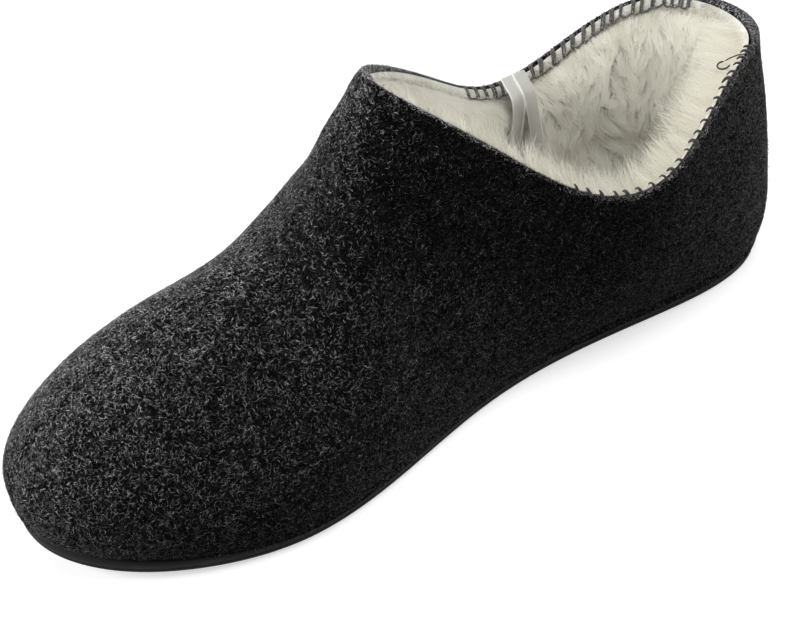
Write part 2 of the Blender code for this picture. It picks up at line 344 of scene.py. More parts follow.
    def crest(self, side: Side, station: Array) -> tuple[Array, Array]:
        """Return the topline of one side and beyond the throat the ridge.

        Args:
            side: The side of the foot.
            station: Stations from the heel to the toe.

        Returns:
            The points, and the slope of the ridge at each of them.
        """
        along = self.ridge_end_along * self.feather_share(station)
        vamp = self.ridge_end_along - self.throat_along
        share = np.clip(along / self.throat_along, 0, 1)
        ahead = np.clip((along - self.throat_along) / vamp, 0, 1)
        on_vamp = station >= self.throat_station
        turn = np.abs(station - self.throat_station) / self.throat_turn
        share = 1 - (1 - share) * (1 - np.exp(-turn ** 3))
        ahead = ahead * (1 - np.exp(-turn))
        along = self.throat_along * share + vamp * ahead
        ridge_x = mix(self.throat_x, self.ridge_end_x, ahead)
        x = np.where(on_vamp, ridge_x, self.throat_x * share + side.value * self.opening_half(share))
        z = np.where(on_vamp, self.ridge_height(ahead), self.topline_height(share))
        fall = self.ridge_height(ahead - STEP) - self.ridge_height(ahead + STEP)
        return np.stack([x, -self.length * along, z], -1), fall / (2 * STEP * vamp * self.length)

    def crowned(self, station: Array) -> Array:
        """Return how far the wall is a vamp that lies level beside its ridge, from 0 to 1."""
        return ease((station / self.throat_station - self.crown_start) / (1 - self.crown_start))

    def foot(self, side: Side, station: Array) -> Array:
        """Return the lower edge of the felt on one side."""
        height = self.sole + self.gap + self.spring_at(self.feather_share(station))
        return np.column_stack([self.plan(side, station), height])

    def height(self, side: Side, station: Array) -> Array:
        """Return how high the curved part of the wall rises at stations of one side."""
        return self.crest(side, station)[0][:, 2] - self.foot(side, station)[:, 2] - self.foot_rise

    def wall(self, side: Side, station: Array, rise: Array) -> Array:
        """Return points on the outer face of the felt.

        Args:
            side: The side of the foot.
            station: Stations from the heel to the toe.
            rise: Rises up the wall for each station, from 0 above the feather line to 1 at the crest.

        Returns:
            A grid of points, one column for each station.
        """
        outward = self.outward(side, station)
        start = self.foot(side, station) + self.foot_rise * UP
        crest, slope = self.crest(side, station)
        height = crest[:, 2] - start[:, 2]
        reach = start[:, :2] - crest[:, :2]
        width = np.maximum(np.linalg.norm(reach, axis=1), STEP)
        crowned = self.crowned(station)
        level = self.crown(station) * width
        tip = mix(self.lean(station), level, crowned)
        drop = mix(self.rim_drop * height, slope * np.abs(reach[:, 1]) / width * level, crowned)
        tip_way = mix(outward, reach / width[:, None], crowned[:, None])
        low = start + np.column_stack([outward * self.swell(station)[:, None], self.lift(station) * height])
        high = crest + np.column_stack([tip_way * tip[:, None], -drop])
        u = rise[..., None]
        weights = ((1 - u) ** 3, 3 * u * (1 - u) ** 2, 3 * u * u * (1 - u), u ** 3)
        return sum(weight * points[:, None] for weight, points in zip(weights, (start, low, high, crest)))

    def stations(self, collar: int, vamp: int) -> Array:
        """Return stations from heel to toe, closest together at the throat.

        Args:
            collar: How many steps lie along the collar.
            vamp: How many steps lie along the vamp.

        Returns:
            The stations.
        """
        share = np.linspace(0, 1, collar + 1)
        along_collar = self.throat_station * mix(share, np.sin(np.pi / 2 * share), self.crowding)
        return np.concatenate([along_collar, np.linspace(self.throat_station, 1, vamp + 1)[1:]])

    def centre_x(self, y: Array) -> Array:
        """Return the X of the centre front at places along the foot."""
        places = self.length * np.array((self.throat_along, self.ridge_end_along, 1.0))
        return np.interp(-y, places, (self.throat_x, self.ridge_end_x, self.toe_swing))


@dataclass
class Spots:
    """Places on a face: points, the face's frame there, and their station and rise."""

    point: Array
    normal: Array
    along: Array
    up: Array
    station: Array
    rise: Array


@dataclass
class Patch:
    """A grid of points on a face, with its normals, stations and rises."""

    points: Array
    normals: Array
    stations: Array
    rises: Array

    def spots(self, count: int, density: Array, rng: Chance) -> Spots:
        """Return random places on the face.

        Args:
            count: How many places.
            density: How thick the places lie at each point of the grid.
            rng: The source of chance.

        Returns:
            The places.
        """
        p = self.points
        area = np.linalg.norm(np.cross(p[1:, 1:] - p[:-1, :-1], p[:-1, 1:] - p[1:, :-1]), axis=-1)
        weight = np.cumsum((area * density[:-1, :-1]).ravel())
        cell = np.searchsorted(weight, rng.random(count) * weight[-1])
        i, j = np.unravel_index(np.minimum(cell, area.size - 1), area.shape)
        a, b = rng.random((2, count))

        def blend(grid: Array) -> Array:
            """Return the grid's values at the places."""
            s, t = (a, b) if grid.ndim == 2 else (a[:, None], b[:, None])
            return mix(mix(grid[i, j], grid[i + 1, j], s), mix(grid[i, j + 1], grid[i + 1, j + 1], s), t)

        return Spots(
            point=blend(p),
            normal=unit(blend(self.normals)),
            along=unit(p[i + 1, j] - p[i, j] + p[i + 1, j + 1] - p[i, j + 1]),
            up=unit(p[i, j + 1] - p[i, j] + p[i + 1, j + 1] - p[i + 1, j]),
            station=blend(self.stations),
            rise=blend(self.rises),
        )


class Sewing:
    """Grids of points that are sewn into one mesh where their points coincide."""

    def __init__(self) -> None:
        """Start with no grids."""
        self.grids: list[Array] = []
        self.flips: list[bool] = []

    def add(self, grid: Array, flip: bool = False) -> None:
        """Take a grid of points, with its faces turned over if flip says so."""
        self.grids.append(grid)
        self.flips.append(flip)

    def sewn(self) -> tuple[Array, list[list[int]], list[Array]]:
        """Return the mesh's points, its faces, and the numbers of each grid's points."""
        flat = np.concatenate([grid.reshape(-1, 3) for grid in self.grids])
        points, number = np.unique(np.round(flat, WELD_DIGITS) + 0.0, axis=0, return_inverse=True)
        number = number.ravel()
        faces: list[list[int]] = []
        numbers: list[Array] = []
        first = 0
        for grid, flip in zip(self.grids, self.flips):
            rows, columns = grid.shape[:2]
            own = number[first:first + rows * columns].reshape(rows, columns)
            first += rows * columns
            numbers.append(own)
            rings = np.stack([own[:-1, :-1], own[1:, :-1], own[1:, 1:], own[:-1, 1:]], -1).reshape(-1, 4)
            for ring in rings.tolist():
                corners = [corner for place, corner in enumerate(ring) if corner != ring[place - 1]]
                if len(corners) > 2:
                    faces.append(corners[::-1] if flip else corners)
        return points, faces, numbers

    def normals(self) -> list[Array]:
        """Return the normals at each grid's points."""
        points, faces, numbers = self.sewn()
        mesh = bpy.data.meshes.new("normals")
        mesh.from_pydata(points, [], faces)
        found = np.zeros(len(points) * 3, np.float32)
        mesh.vertex_normals.foreach_get("vector", found)
        bpy.data.meshes.remove(mesh)
        return [found.reshape(-1, 3)[own].astype(float) for own in numbers]

    def piece(self, name: str, last: Last) -> Piece:
        """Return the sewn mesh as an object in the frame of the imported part.

        Args:
            name: The object's name.
            last: The form, which places the points.

        Returns:
            The object.
        """
        points, faces, _ = self.sewn()
        mesh = bpy.data.meshes.new(name)
        mesh.from_pydata(last.place(points), [], faces)
        mesh.validate()
        mesh.shade_smooth()
        return link(name, mesh)


def link(name: str, mesh: bpy.types.Mesh) -> Piece:
    """Return a new object in the scene with the mesh.

    Args:
        name: The object's name.
        mesh: Its mesh.

    Returns:
        The object.
    """
    piece = bpy.data.objects.new(name, mesh)
    bpy.context.scene.collection.objects.link(piece)
    return piece


def bare_mesh(name: str, points: Array, triangles: Array) -> bpy.types.Mesh:
    """Return a smooth mesh of triangles from arrays, in metres.

    Args:
        name: The mesh's name.
        points: Its points.
        triangles: The numbers of each triangle's corners.

    Returns:
        The mesh.
    """
    mesh = bpy.data.meshes.new(name)
    mesh.vertices.add(len(points))
    mesh.vertices.foreach_set("co", points.astype(np.float32).ravel())
    mesh.loops.add(triangles.size)
    mesh.loops.foreach_set("vertex_index", triangles.astype(np.int32).ravel())
    mesh.polygons.add(len(triangles))
    mesh.polygons.foreach_set("loop_start", np.arange(0, triangles.size, 3, dtype=np.int32))
    mesh.update(calc_edges=True)
    mesh.shade_smooth()
    return mesh


@dataclass
class Strands:
    """Many thin tapered strands: their middle lines, widths, the way they face, and their tones."""

    lines: Array
    widths: Array
    facing: Array
    tones: Array

    def joined(self, other: "Strands") -> "Strands":
        """Return these strands together with others."""
        pairs = zip(vars(self).values(), vars(other).values())
        return Strands(*(np.concatenate(pair) for pair in pairs))

    def piece(self, name: str, last: Last, painted_root_shade: float = 0.0) -> Piece:
        """Return the strands as one object of flat ribbons with pointed ends.

        Args:
            name: The object's name.
            last: The slipper's form, which places the points.
            painted_root_shade: How much lower the tone is at the roots than at the tips, as painted shade deep
                in the strands.

        Returns:
            The object, with each point's tone as an attribute.
        """
        count, steps, _ = self.lines.shape
        way = np.gradient(self.lines, axis=1)
        across = unit(np.cross(way, self.facing[:, None])) * self.widths[..., None] / 2
        pairs = np.stack([self.lines - across, self.lines + across], axis=2)[:, 1:-1].reshape(count, -1, 3)
        points = np.concatenate([self.lines[:, :1], pairs, self.lines[:, -1:]], axis=1)
        per = points.shape[1]
        ladder = [(0, 2, 1), (per - 3, per - 2, per - 1)]
        for left in range(1, per - 3, 2):
            ladder += [(left, left + 1, left + 3), (left, left + 3, left + 2)]
        triangles = (np.arange(count)[:, None, None] * per + np.array(ladder)).reshape(-1, 3)
        mesh = bare_mesh(name, last.place(points.reshape(-1, 3)), triangles)
        tone = mesh.attributes.new("tone", "FLOAT", "POINT")
        share = np.concatenate([[0], np.repeat(np.arange(1, steps - 1), 2), [steps - 1]]) / (steps - 1)
        # Painted shade: tones fall towards the roots
        tones = self.tones[:, None] - painted_root_shade * (1 - share)
        tone.data.foreach_set("value", tones.ravel().astype(np.float32))
        mesh.normals_split_custom_set_from_vertices(np.repeat(unit(self.facing), per, axis=0))
        return link(name, mesh)


class Tubes:
    """Threads that are joined into one mesh."""

    STEEP = 0.9
    END_SHARE = 1 / 3

    def __init__(self, sides: int) -> None:
        """Start with no threads.

        Args:
            sides: How many sides each thread has.
        """
        self.sides = sides
        self.points: list[Array] = []
        self.triangles: list[Array] = []
        self.count = 0

    def add(self, line: Array, radius: float, tip: float = 1.0) -> None:
        """Lay a thread along a line, with rounded ends.

        Args:
            line: The points of its middle line.
            radius: Its radius at the start.
            tip: The share of that radius at its end.
        """
        way = unit(np.gradient(line, axis=0))
        helper = np.where(np.abs(way @ UP)[:, None] > self.STEEP, np.array((1.0, 0.0, 0.0)), UP)
        first = unit(np.cross(way, helper))
        second = np.cross(way, first)
        angle = np.arange(self.sides) * 2 * np.pi / self.sides
        cosine, sine = (turn(angle)[None, :, None] for turn in (np.cos, np.sin))
        ring = cosine * first[:, None] + sine * second[:, None]
        reach = radius * np.linspace(1.0, tip, len(line))
        reach[[0, -1]] *= self.END_SHARE
        points = line[:, None] + ring * reach[:, None, None]
        rows, columns = np.indices((len(line) - 1, self.sides))
        beside = (columns + 1) % self.sides
        corner = rows * self.sides + columns
        next_corner = rows * self.sides + beside
        above, next_above = corner + self.sides, next_corner + self.sides
        quads = np.stack([corner, next_corner, next_above, above], -1).reshape(-1, 4)
        caps = []
        last_ring = (len(line) - 1) * self.sides
        for k in range(1, self.sides - 1):
            caps.append((0, k + 1, k))
            caps.append((last_ring, last_ring + k, last_ring + k + 1))
        triangles = np.concatenate([quads[:, [0, 1, 2]], quads[:, [0, 2, 3]], np.array(caps)])
        self.points.append(points.reshape(-1, 3))
        self.triangles.append(triangles + self.count)
        self.count += points.shape[0] * self.sides

    def piece(self, name: str, last: Last) -> Piece:
        """Return the threads as one object."""
        points = last.place(np.concatenate(self.points))
        return link(name, bare_mesh(name, points, np.concatenate(self.triangles)))


class Value:
    """A socket that carries a number, with arithmetic that adds Math nodes."""

    def __init__(self, bench: "Bench", socket: Socket) -> None:
        """Wrap a socket of the bench's material."""
        self.bench = bench
        self.socket = socket

    def math(self, operation: str, first: Any, second: Any) -> "Value":
        """Return the result of a Math node on two values."""
        node = self.bench.add("ShaderNodeMath", {"operation": operation}, {0: first, 1: second})
        return Value(self.bench, node.outputs[0])

    def __add__(self, other: Any) -> "Value":
        """Return the sum."""
        return self.math("ADD", self, other)

    def __radd__(self, other: Any) -> "Value":
        """Return the sum."""
        return self.math("ADD", other, self)

    def __sub__(self, other: Any) -> "Value":
        """Return the difference."""
        return self.math("SUBTRACT", self, other)

    def __rsub__(self, other: Any) -> "Value":
        """Return the difference."""
        return self.math("SUBTRACT", other, self)

    def __mul__(self, other: Any) -> "Value":
        """Return the product."""
        return self.math("MULTIPLY", self, other)

    def __rmul__(self, other: Any) -> "Value":
        """Return the product."""
        return self.math("MULTIPLY", other, self)

    def __abs__(self) -> "Value":
        """Return the size without its sign."""
        return self.math("ABSOLUTE", self, 0.0)

    def bound(self, low: Any, high: Any) -> "Value":
        """Return where the value lies between a low and a high one, from 0 to 1.

        Args:
            low: The value that gives 0.
            high: The value that gives 1.

        Returns:
            The eased share.
        """
        settings = {"interpolation_type": "SMOOTHSTEP"}
        node = self.bench.add("ShaderNodeMapRange", settings, {0: self, 1: low, 2: high})
        return Value(self.bench, node.outputs[0])


class Nodes:
    """The nodes of a material or of the world."""

    def __init__(self, tree: bpy.types.NodeTree) -> None:
        """Work on a tree of nodes."""
        self.tree = tree

    def feed(self, socket: Socket, value: Any) -> None:
        """Link or set a socket.

        Args:
            socket: The socket to feed.
            value: A wrapped or plain socket to link, or a value to set.
        """
        source = value.socket if isinstance(value, Value) else value
        if isinstance(source, Socket):
            self.tree.links.new(source, socket)
        else:
            socket.default_value = source

    def add(self, kind: str, settings: dict[str, Any] | None = None,
            inputs: dict[int | str, Any] | None = None) -> bpy.types.Node:
        """Add a node.

        Args:
            kind: The node's type.
            settings: Its settings, with a ramp's stops as pairs of place and colour.
            inputs: The values or links of its sockets.

        Returns:
            The node.
        """
        node = self.tree.nodes.new(kind)
        for name, setting in (settings or {}).items():
            if name == "stops":
                self.set_stops(node.color_ramp, setting)
            else:
                setattr(node, name, setting)
        for name, value in (inputs or {}).items():
            self.feed(node.inputs[name], value)
        return node

    def set_stops(self, ramp: bpy.types.ColorRamp, stops: Stops) -> None:
        """Give a ramp its stops.

        Args:
            ramp: The ramp.
            stops: Pairs of place and colour.
        """
        while len(ramp.elements) < len(stops):
            ramp.elements.new(1.0)
        for element, (place, colour) in zip(ramp.elements, stops):
            element.position = place
            element.color = colour

    def ramp(self, value: Any, stops: Stops) -> Socket:
        """Return the colours of a ramp at values."""
        return self.add("ShaderNodeValToRGB", {"stops": stops}, {0: value}).outputs[0]


class Bench(Nodes):
    """The nodes of one material."""

    MIDDLE = 0.5
    FUZZ_ROUGHNESS = 0.95

    def __init__(self, name: str) -> None:
        """Start a material with a plain shader.

        Args:
            name: The material's name.
        """
        self.material = bpy.data.materials.new(name)
        self.material.use_nodes = True
        super().__init__(self.material.node_tree)
        self.shader = self.tree.nodes["Principled BSDF"]
        self.place = self.add("ShaderNodeTexCoord").outputs["Object"]

    def noise(self, scale: float, detail: float = 2.0, roughness: float = 0.5,
              distortion: float = 0.0) -> Value:
        """Return a noise over the surface, with its scale per metre.

        Args:
            scale: How fine the noise is.
            detail: How many finer noises are added.
            roughness: How strong those are.
            distortion: How far it is twisted.

        Returns:
            The noise, from 0 to 1.
        """
        inputs = {"Vector": self.place, "Scale": scale, "Detail": detail, "Roughness": roughness,
                  "Distortion": distortion}
        return Value(self, self.add("ShaderNodeTexNoise", None, inputs).outputs[0])

    def curls(self, scale: float, width: float, distortion: float) -> Value:
        """Return thin curly lines over the surface, from 0 to 1 in their middle."""
        lines = self.noise(scale, detail=1.0, distortion=distortion)
        return 1.0 - abs(lines - self.MIDDLE).bound(0.0, width)

    def waves(self, direction: str, scale: float, distortion: float, detail: float) -> Value:
        """Return even bands over the surface, from 0 to 1.

        Args:
            direction: The way across the bands.
            scale: How fine the bands are.
            distortion: How far they are twisted.
            detail: How many finer noises twist them.

        Returns:
            The bands.
        """
        settings = {"wave_type": "BANDS", "bands_direction": direction}
        inputs = {"Vector": self.place, "Scale": scale, "Distortion": distortion, "Detail": detail}
        return Value(self, self.add("ShaderNodeTexWave", settings, inputs).outputs[1])

    def blend(self, share: Any, first: Any, second: Any) -> Socket:
        """Return a mix of two colours."""
        settings = {"data_type": "RGBA", "blend_type": "MIX"}
        return self.add("ShaderNodeMix", settings, {0: share, 6: first, 7: second}).outputs[2]

    def attribute(self, name: str) -> Value:
        """Return a number that the mesh holds at its points."""
        return Value(self, self.add("ShaderNodeAttribute", {"attribute_name": name}).outputs["Fac"])

    def bump(self, height: Value, strength: float, depth: float) -> None:
        """Let a height in shares of a depth in metres shade the surface."""
        inputs = {"Strength": strength, "Distance": depth, "Height": height}
        self.feed(self.shader.inputs["Normal"], self.add("ShaderNodeBump", None, inputs).outputs[0])

    def bloom(self, strength: float, colour: Colour) -> None:
        """Let the sheen of loose fibres show where the surface is seen along its face.

        Args:
            strength: The sheen's share at the rim of the surface.
            colour: Its colour.
        """
        weight = self.add("ShaderNodeLayerWeight", None, {"Blend": self.MIDDLE})
        facing = Value(self, weight.outputs["Facing"])
        dull = {"Base Color": colour, "Roughness": self.FUZZ_ROUGHNESS, "Specular IOR Level": 0.0}
        fuzz = self.add("ShaderNodeBsdfPrincipled", None, dull)
        inputs = {0: facing * facing * strength, 1: self.shader.outputs[0], 2: fuzz.outputs[0]}
        mixed = self.add("ShaderNodeMixShader", None, inputs)
        self.feed(self.tree.nodes["Material Output"].inputs["Surface"], mixed.outputs[0])

    def dress(self, **inputs: Any) -> Material:
        """Feed the shader's sockets, named with underscores for spaces, and return the material."""
        for name, value in inputs.items():
            self.feed(self.shader.inputs[name.replace("_", " ")], value)
        return self.material


def grey(level: float, warmth: float = 0.0) -> Colour:
    """Return a grey colour that a warmth above 0 makes yellower."""
    return level * (1 + warmth / 3), level, level * (1 - warmth), 1.0


@dataclass(frozen=True)
class FeltFinish:
    """Charcoal melange felt under its fibres, with curled fibres of its own."""

    tones: Stops = ((0.05, grey(0.001)), (0.45, grey(0.008)), (0.95, grey(0.035)))
    curl_scales: tuple[float, float] = (620.0, 980.0)
    curl_width: float = 0.08
    curl_twist: float = 1.2
    curl_share: float = 0.45
    curl_depth: float = 0.0003
    curl_height: float = 0.5
    blotch_scale: float = 210.0
    blotch_floor: float = 0.45
    blotch_share: float = 0.3

    def material(self) -> Material:
        """Return the material."""
        bench = Bench("charcoal_felt_ground")
        first, second = (bench.curls(scale, self.curl_width, self.curl_twist) for scale in self.curl_scales)
        blotch = bench.noise(self.blotch_scale, detail=3.0, roughness=0.6)
        curls = (first * self.curl_share + second * self.curl_share) * (blotch + self.blotch_floor)
        shade = curls + (blotch - bench.MIDDLE) * self.blotch_share
        height = first * self.curl_height + second * self.curl_height
        bench.bump(height, strength=1.0, depth=self.curl_depth)
        colour = bench.ramp(shade, self.tones)
        return bench.dress(Base_Color=colour, Roughness=0.95, Specular_IOR_Level=0.02)


@dataclass(frozen=True)
class StrandFinish:
    """Fibres or pile whose tone each strand carries, from 0, dark, to 1, pale."""

    name: str
    stops: Stops
    drift_scale: float
    drift: float
    sheen: float
    sheen_roughness: float
    specular: float
    roughness: float = 0.9
    bloom: float = 0.0
    bloom_level: float = 0.26

    def material(self) -> Material:
        """Return the material."""
        bench = Bench(self.name)
        drift = bench.noise(self.drift_scale)
        tone = bench.attribute("tone") + (drift - bench.MIDDLE) * self.drift
        bench.dress(
            Base_Color=bench.ramp(tone, self.stops),
            Roughness=self.roughness,
            Specular_IOR_Level=self.specular,
            Sheen_Weight=self.sheen,
            Sheen_Roughness=self.sheen_roughness,
        )
        if self.bloom:
            bench.bloom(self.bloom, grey(self.bloom_level))
        return bench.material


@dataclass(frozen=True)
class PlushFinish:
    """Ground of the plush between its strands."""

    tones: Stops = ((0.30, (0.48, 0.45, 0.38, 1.0)), (0.62, (0.68, 0.665, 0.61, 1.0)))
    lock_scale: float = 190.0
    lock_share: float = 0.7
    hair_scale: float = 1140.0
    depth: float = 0.002

    def material(self) -> Material:
        """Return the material."""
        bench = Bench("white_plush_ground")
        lock = bench.noise(self.lock_scale, detail=4.0, roughness=0.6, distortion=1.0)
        colour = bench.ramp(lock, self.tones)
        hair = bench.noise(self.hair_scale)
        bench.bump(lock * self.lock_share + hair * (1 - self.lock_share), strength=0.9, depth=self.depth)
        return bench.dress(Base_Color=colour, Roughness=0.9, Specular_IOR_Level=0.2, Sheen_Weight=0.4)


@dataclass(frozen=True)
class RubberFinish:
    """Matt black rubber of the sole."""

    grain_scale: float = 1800.0
    grain_depth: float = 0.0002
    dust_scale: float = 90.0
    tones: Stops = ((0.35, grey(0.005)), (0.75, grey(0.012, 0.05)))
    roughness: float = 0.6
    dust_roughness: float = 0.3

    def material(self) -> Material:
        """Return the material."""
        bench = Bench("matt_black_rubber")
        grain = bench.noise(self.grain_scale, detail=3.0, roughness=0.6)
        dust = bench.noise(self.dust_scale, detail=4.0, roughness=0.6)
        colour = bench.ramp(dust, self.tones)
        bench.bump(grain, strength=0.5, depth=self.grain_depth)
        roughness = self.roughness + dust * self.dust_roughness
        return bench.dress(Base_Color=colour, Roughness=roughness, Specular_IOR_Level=0.25)


@dataclass(frozen=True)
class SatinFinish:
    """Pale satin ribbon with a fine weave."""

    weave_scale: float = 900.0
    weave_share: float = 0.4
    weave_depth: float = 0.0001
    cloud_scale: float = 140.0
    tones: Stops = ((0.2, grey(0.50, 0.07)), (0.8, grey(0.66, 0.06)))
    selvage: Colour = grey(0.92)
    roughness: float = 0.32
    cloud_roughness: float = 0.15

    def material(self) -> Material:
        """Return the material."""
        bench = Bench("pale_satin")
        weave = bench.waves("Z", self.weave_scale, distortion=0.4, detail=1.0)
        cloud = bench.noise(self.cloud_scale)
        cloth = weave * self.weave_share + cloud * (1 - self.weave_share)
        ground = bench.ramp(cloth, self.tones)
        colour = bench.blend(bench.attribute("selvage"), ground, self.selvage)
        bench.bump(weave, strength=0.25, depth=self.weave_depth)
        roughness = self.roughness + cloud * self.cloud_roughness
        return bench.dress(Base_Color=colour, Roughness=roughness, Sheen_Weight=0.3, Specular_IOR_Level=0.6)


@dataclass(frozen=True)
class ThreadFinish:
    """Sewing thread with a twist."""

    name: str
    tones: Stops
    twist_scale: float = 1600.0
    twist_share: float = 0.6
    twist_depth: float = 0.0001
    cloud_scale: float = 260.0

    def material(self) -> Material:
        """Return the material."""
        bench = Bench(self.name)
        twist = bench.waves("DIAGONAL", self.twist_scale, distortion=1.0, detail=2.0)
        shade = twist * self.twist_share + bench.noise(self.cloud_scale) * (1 - self.twist_share)
        colour = bench.ramp(shade, self.tones)
        bench.bump(twist, strength=0.5, depth=self.twist_depth)
        return bench.dress(Base_Color=colour, Roughness=0.75, Sheen_Weight=0.3)


@dataclass(frozen=True)
class FloorFinish:
    """Plain pale studio floor that glows a little."""

    tones: Stops = ((0.2, grey(0.591)), (0.8, grey(0.6)))
    cloud_scale: float = 3.0
    glow: float = 0.62

    def material(self) -> Material:
        """Return the material."""
        bench = Bench("pale_floor")
        colour = bench.ramp(bench.noise(self.cloud_scale), self.tones)
        return bench.dress(
            Base_Color=colour,
            Roughness=0.85,
            Specular_IOR_Level=0.1,
            Emission_Color=grey(1.0),
            Emission_Strength=self.glow,
        )


def attach(piece: Piece, slot: Slot | None, material: Material, *nodes: str) -> None:
    """Dress a piece, let it ride on the slipper and report it.

    Args:
        piece: The piece.
        slot: The record's slot of its finish, if any; it is not used.
        material: Its material.
        nodes: The solids that it stands for.
    """
    piece.data.materials.append(material)
    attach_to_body(piece, BODY)
    if nodes:
        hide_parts(*nodes)
    piece.data.calc_loop_triangles()
    LOG.info("%s: %d triangles", piece.name, len(piece.data.loop_triangles))


class SwellRow(NamedTuple):
    """Gentle unevenness of the felt: how fast it swings along two ways, where it starts, and its share."""

    first: tuple[float, float, float]
    second: tuple[float, float, float]
    start: float
    share: float


class CreaseRow(NamedTuple):
    """A soft trough, or a ridge where its depth is negative, between two places on one side of the felt."""

    side: Side
    first: tuple[float, float]
    last: tuple[float, float]
    depth: float
    width: float


@dataclass
class FeltUpper:
    """The felt upper with its centre-front seam, its creases and its rolled collar edge."""

    last: Last
    # Felt and the rolled edge of its collar
    thickness: float = 2.8
    rim: float = 1.1
    heel_rim: float = 3.8
    heel_band: float = 0.2
    rim_taper: float = 0.25
    foot_taper: float = 0.08
    roll: float = 1.0
    roll_steps: int = 6
    roll_fade: float = 0.4
    # Steps of the grids
    collar_steps: int = 90
    vamp_steps: int = 44
    rises: int = 44
    inner_rises: int = 12
    # Centre-front seam and the dip round it
    seam_depth: float = 0.55
    seam_width: float = 1.7
    dip_depth: float = 0.8
    dip_width: float = 9.0
    seam_start: float = 14.0
    # Lower edge, tucked in at the toe and hanging over the sole's rim elsewhere
    tuck: float = 1.6
    tuck_height: float = 2.8
    toe_start: float = 0.62
    toe_band: float = 0.2
    hang: float = 1.2
    hang_wall: float = 0.65
    # Unevenness of the face
    wave: float = 0.25
    swells: tuple[SwellRow, ...] = (
        SwellRow(first=(1 / 9, 1 / 13, 0.0), second=(0.0, -1 / 17, 1 / 8), start=1.0, share=1.0),
        SwellRow(first=(0.0, 1 / 6.5, 1 / 11), second=(1 / 5, 0.0, 1 / 7), start=0.0, share=0.6),
    )
    # Soft creases, between places given as station and rise
    crease_steps: int = 25
    crease_taper: float = 0.6
    creases: tuple[CreaseRow, ...] = (
        CreaseRow(Side.INNER, first=(0.69, 0.95), last=(0.48, 0.52), depth=1.4, width=8.0),
        CreaseRow(Side.INNER, first=(0.62, 0.55), last=(0.44, 0.40), depth=-0.7, width=9.0),
        CreaseRow(Side.OUTER, first=(0.69, 0.95), last=(0.50, 0.50), depth=0.9, width=8.0),
        CreaseRow(Side.INNER, first=(0.20, 0.55), last=(0.10, 0.30), depth=0.5, width=6.0),
        CreaseRow(Side.OUTER, first=(0.22, 0.60), last=(0.10, 0.32), depth=0.5, width=6.0),
    )
    # Faces for the fibres, which build keeps
    patches: dict[Side, Patch] = field(default_factory=dict)
    rims: dict[Side, Patch] = field(default_factory=dict)

    def rim_at(self, station: Array) -> Array:
        """Return how thick the felt is at the collar's edge."""
        return mix(self.heel_rim, self.rim, ease(station / self.heel_band))

    def relief(self, points: Array) -> Array:
        """Return how far the felt stands out of its plain form at points.

        Args:
            points: Points on the felt.

        Returns:
            The height at each point.
        """
        across = np.abs(points[..., 0] - self.last.centre_x(points[..., 1]))
        front = ease((-points[..., 1] - self.last.throat_along * self.last.length) / self.seam_start)
        seam = self.seam_depth * np.exp(-(across / self.seam_width) ** 2)
        dip = self.dip_depth * np.exp(-(across / self.dip_width) ** 2)
        relief = -front * (seam + dip)
        for row in self.swells:
            swell = np.sin(points @ np.array(row.first)) * np.sin(points @ np.array(row.second) + row.start)
            relief += self.wave * row.share * swell
        for crease in self.creases:
            relief -= self.crease(points, crease)
        return relief

    def crease(self, points: Array, row: CreaseRow) -> Array:
        """Return how deep one crease is at points.

        Args:
            points: Points on the felt.
            row: The crease.

        Returns:
            The depth at each point.
        """
        share = np.linspace(0, 1, self.crease_steps)
        station = mix(row.first[0], row.last[0], share)
        rise = mix(row.first[1], row.last[1], share)
        line = self.last.wall(row.side, station, rise[:, None])[:, 0]
        away = np.linalg.norm(points[..., None, :] - line, axis=-1)
        nearest = away.argmin(-1)
        taper = np.sin(np.pi * share[nearest]) ** self.crease_taper
        return row.depth * taper * np.exp(-(away.min(-1) / row.width) ** 2)

    def toe_share(self, station: Array) -> Array:
        """Return how far stations lie on the toe, where the felt tucks in above the sole, from 0 to 1."""
        return ease((station - self.toe_start) / self.toe_band)

    def outer_grids(self) -> dict[Side, tuple[Array, Array, Array]]:
        """Return the outer face, with its stations and rises, for each side."""
        station = self.last.stations(self.collar_steps, self.vamp_steps)
        grids = {}
        for side in Side:
            top = 1 - self.roll / self.last.height(side, station) * (1 - self.last.crowned(station))
            rise = np.linspace(0, 1, self.rises + 1)[None] * top[:, None]
            wall = self.last.wall(side, station, rise)
            foot = self.last.foot(side, station)[:, None]
            grid = np.concatenate([foot, wall], axis=1)
            toe = self.toe_share(station)[:, None]
            above = np.clip((grid[..., 2] - foot[..., 2]) / self.tuck_height, 0, 1)
            tuck = self.tuck * toe * (1 - above) ** 2
            grid[..., :2] -= self.last.outward(side, station)[:, None] * tuck[..., None]
            grid[:, :1, 2] -= self.hang * (1 - toe)
            rise = np.concatenate([np.zeros((len(station), 1)), rise], axis=1)
            grids[side] = grid, np.broadcast_to(station[:, None], rise.shape), rise
        return grids

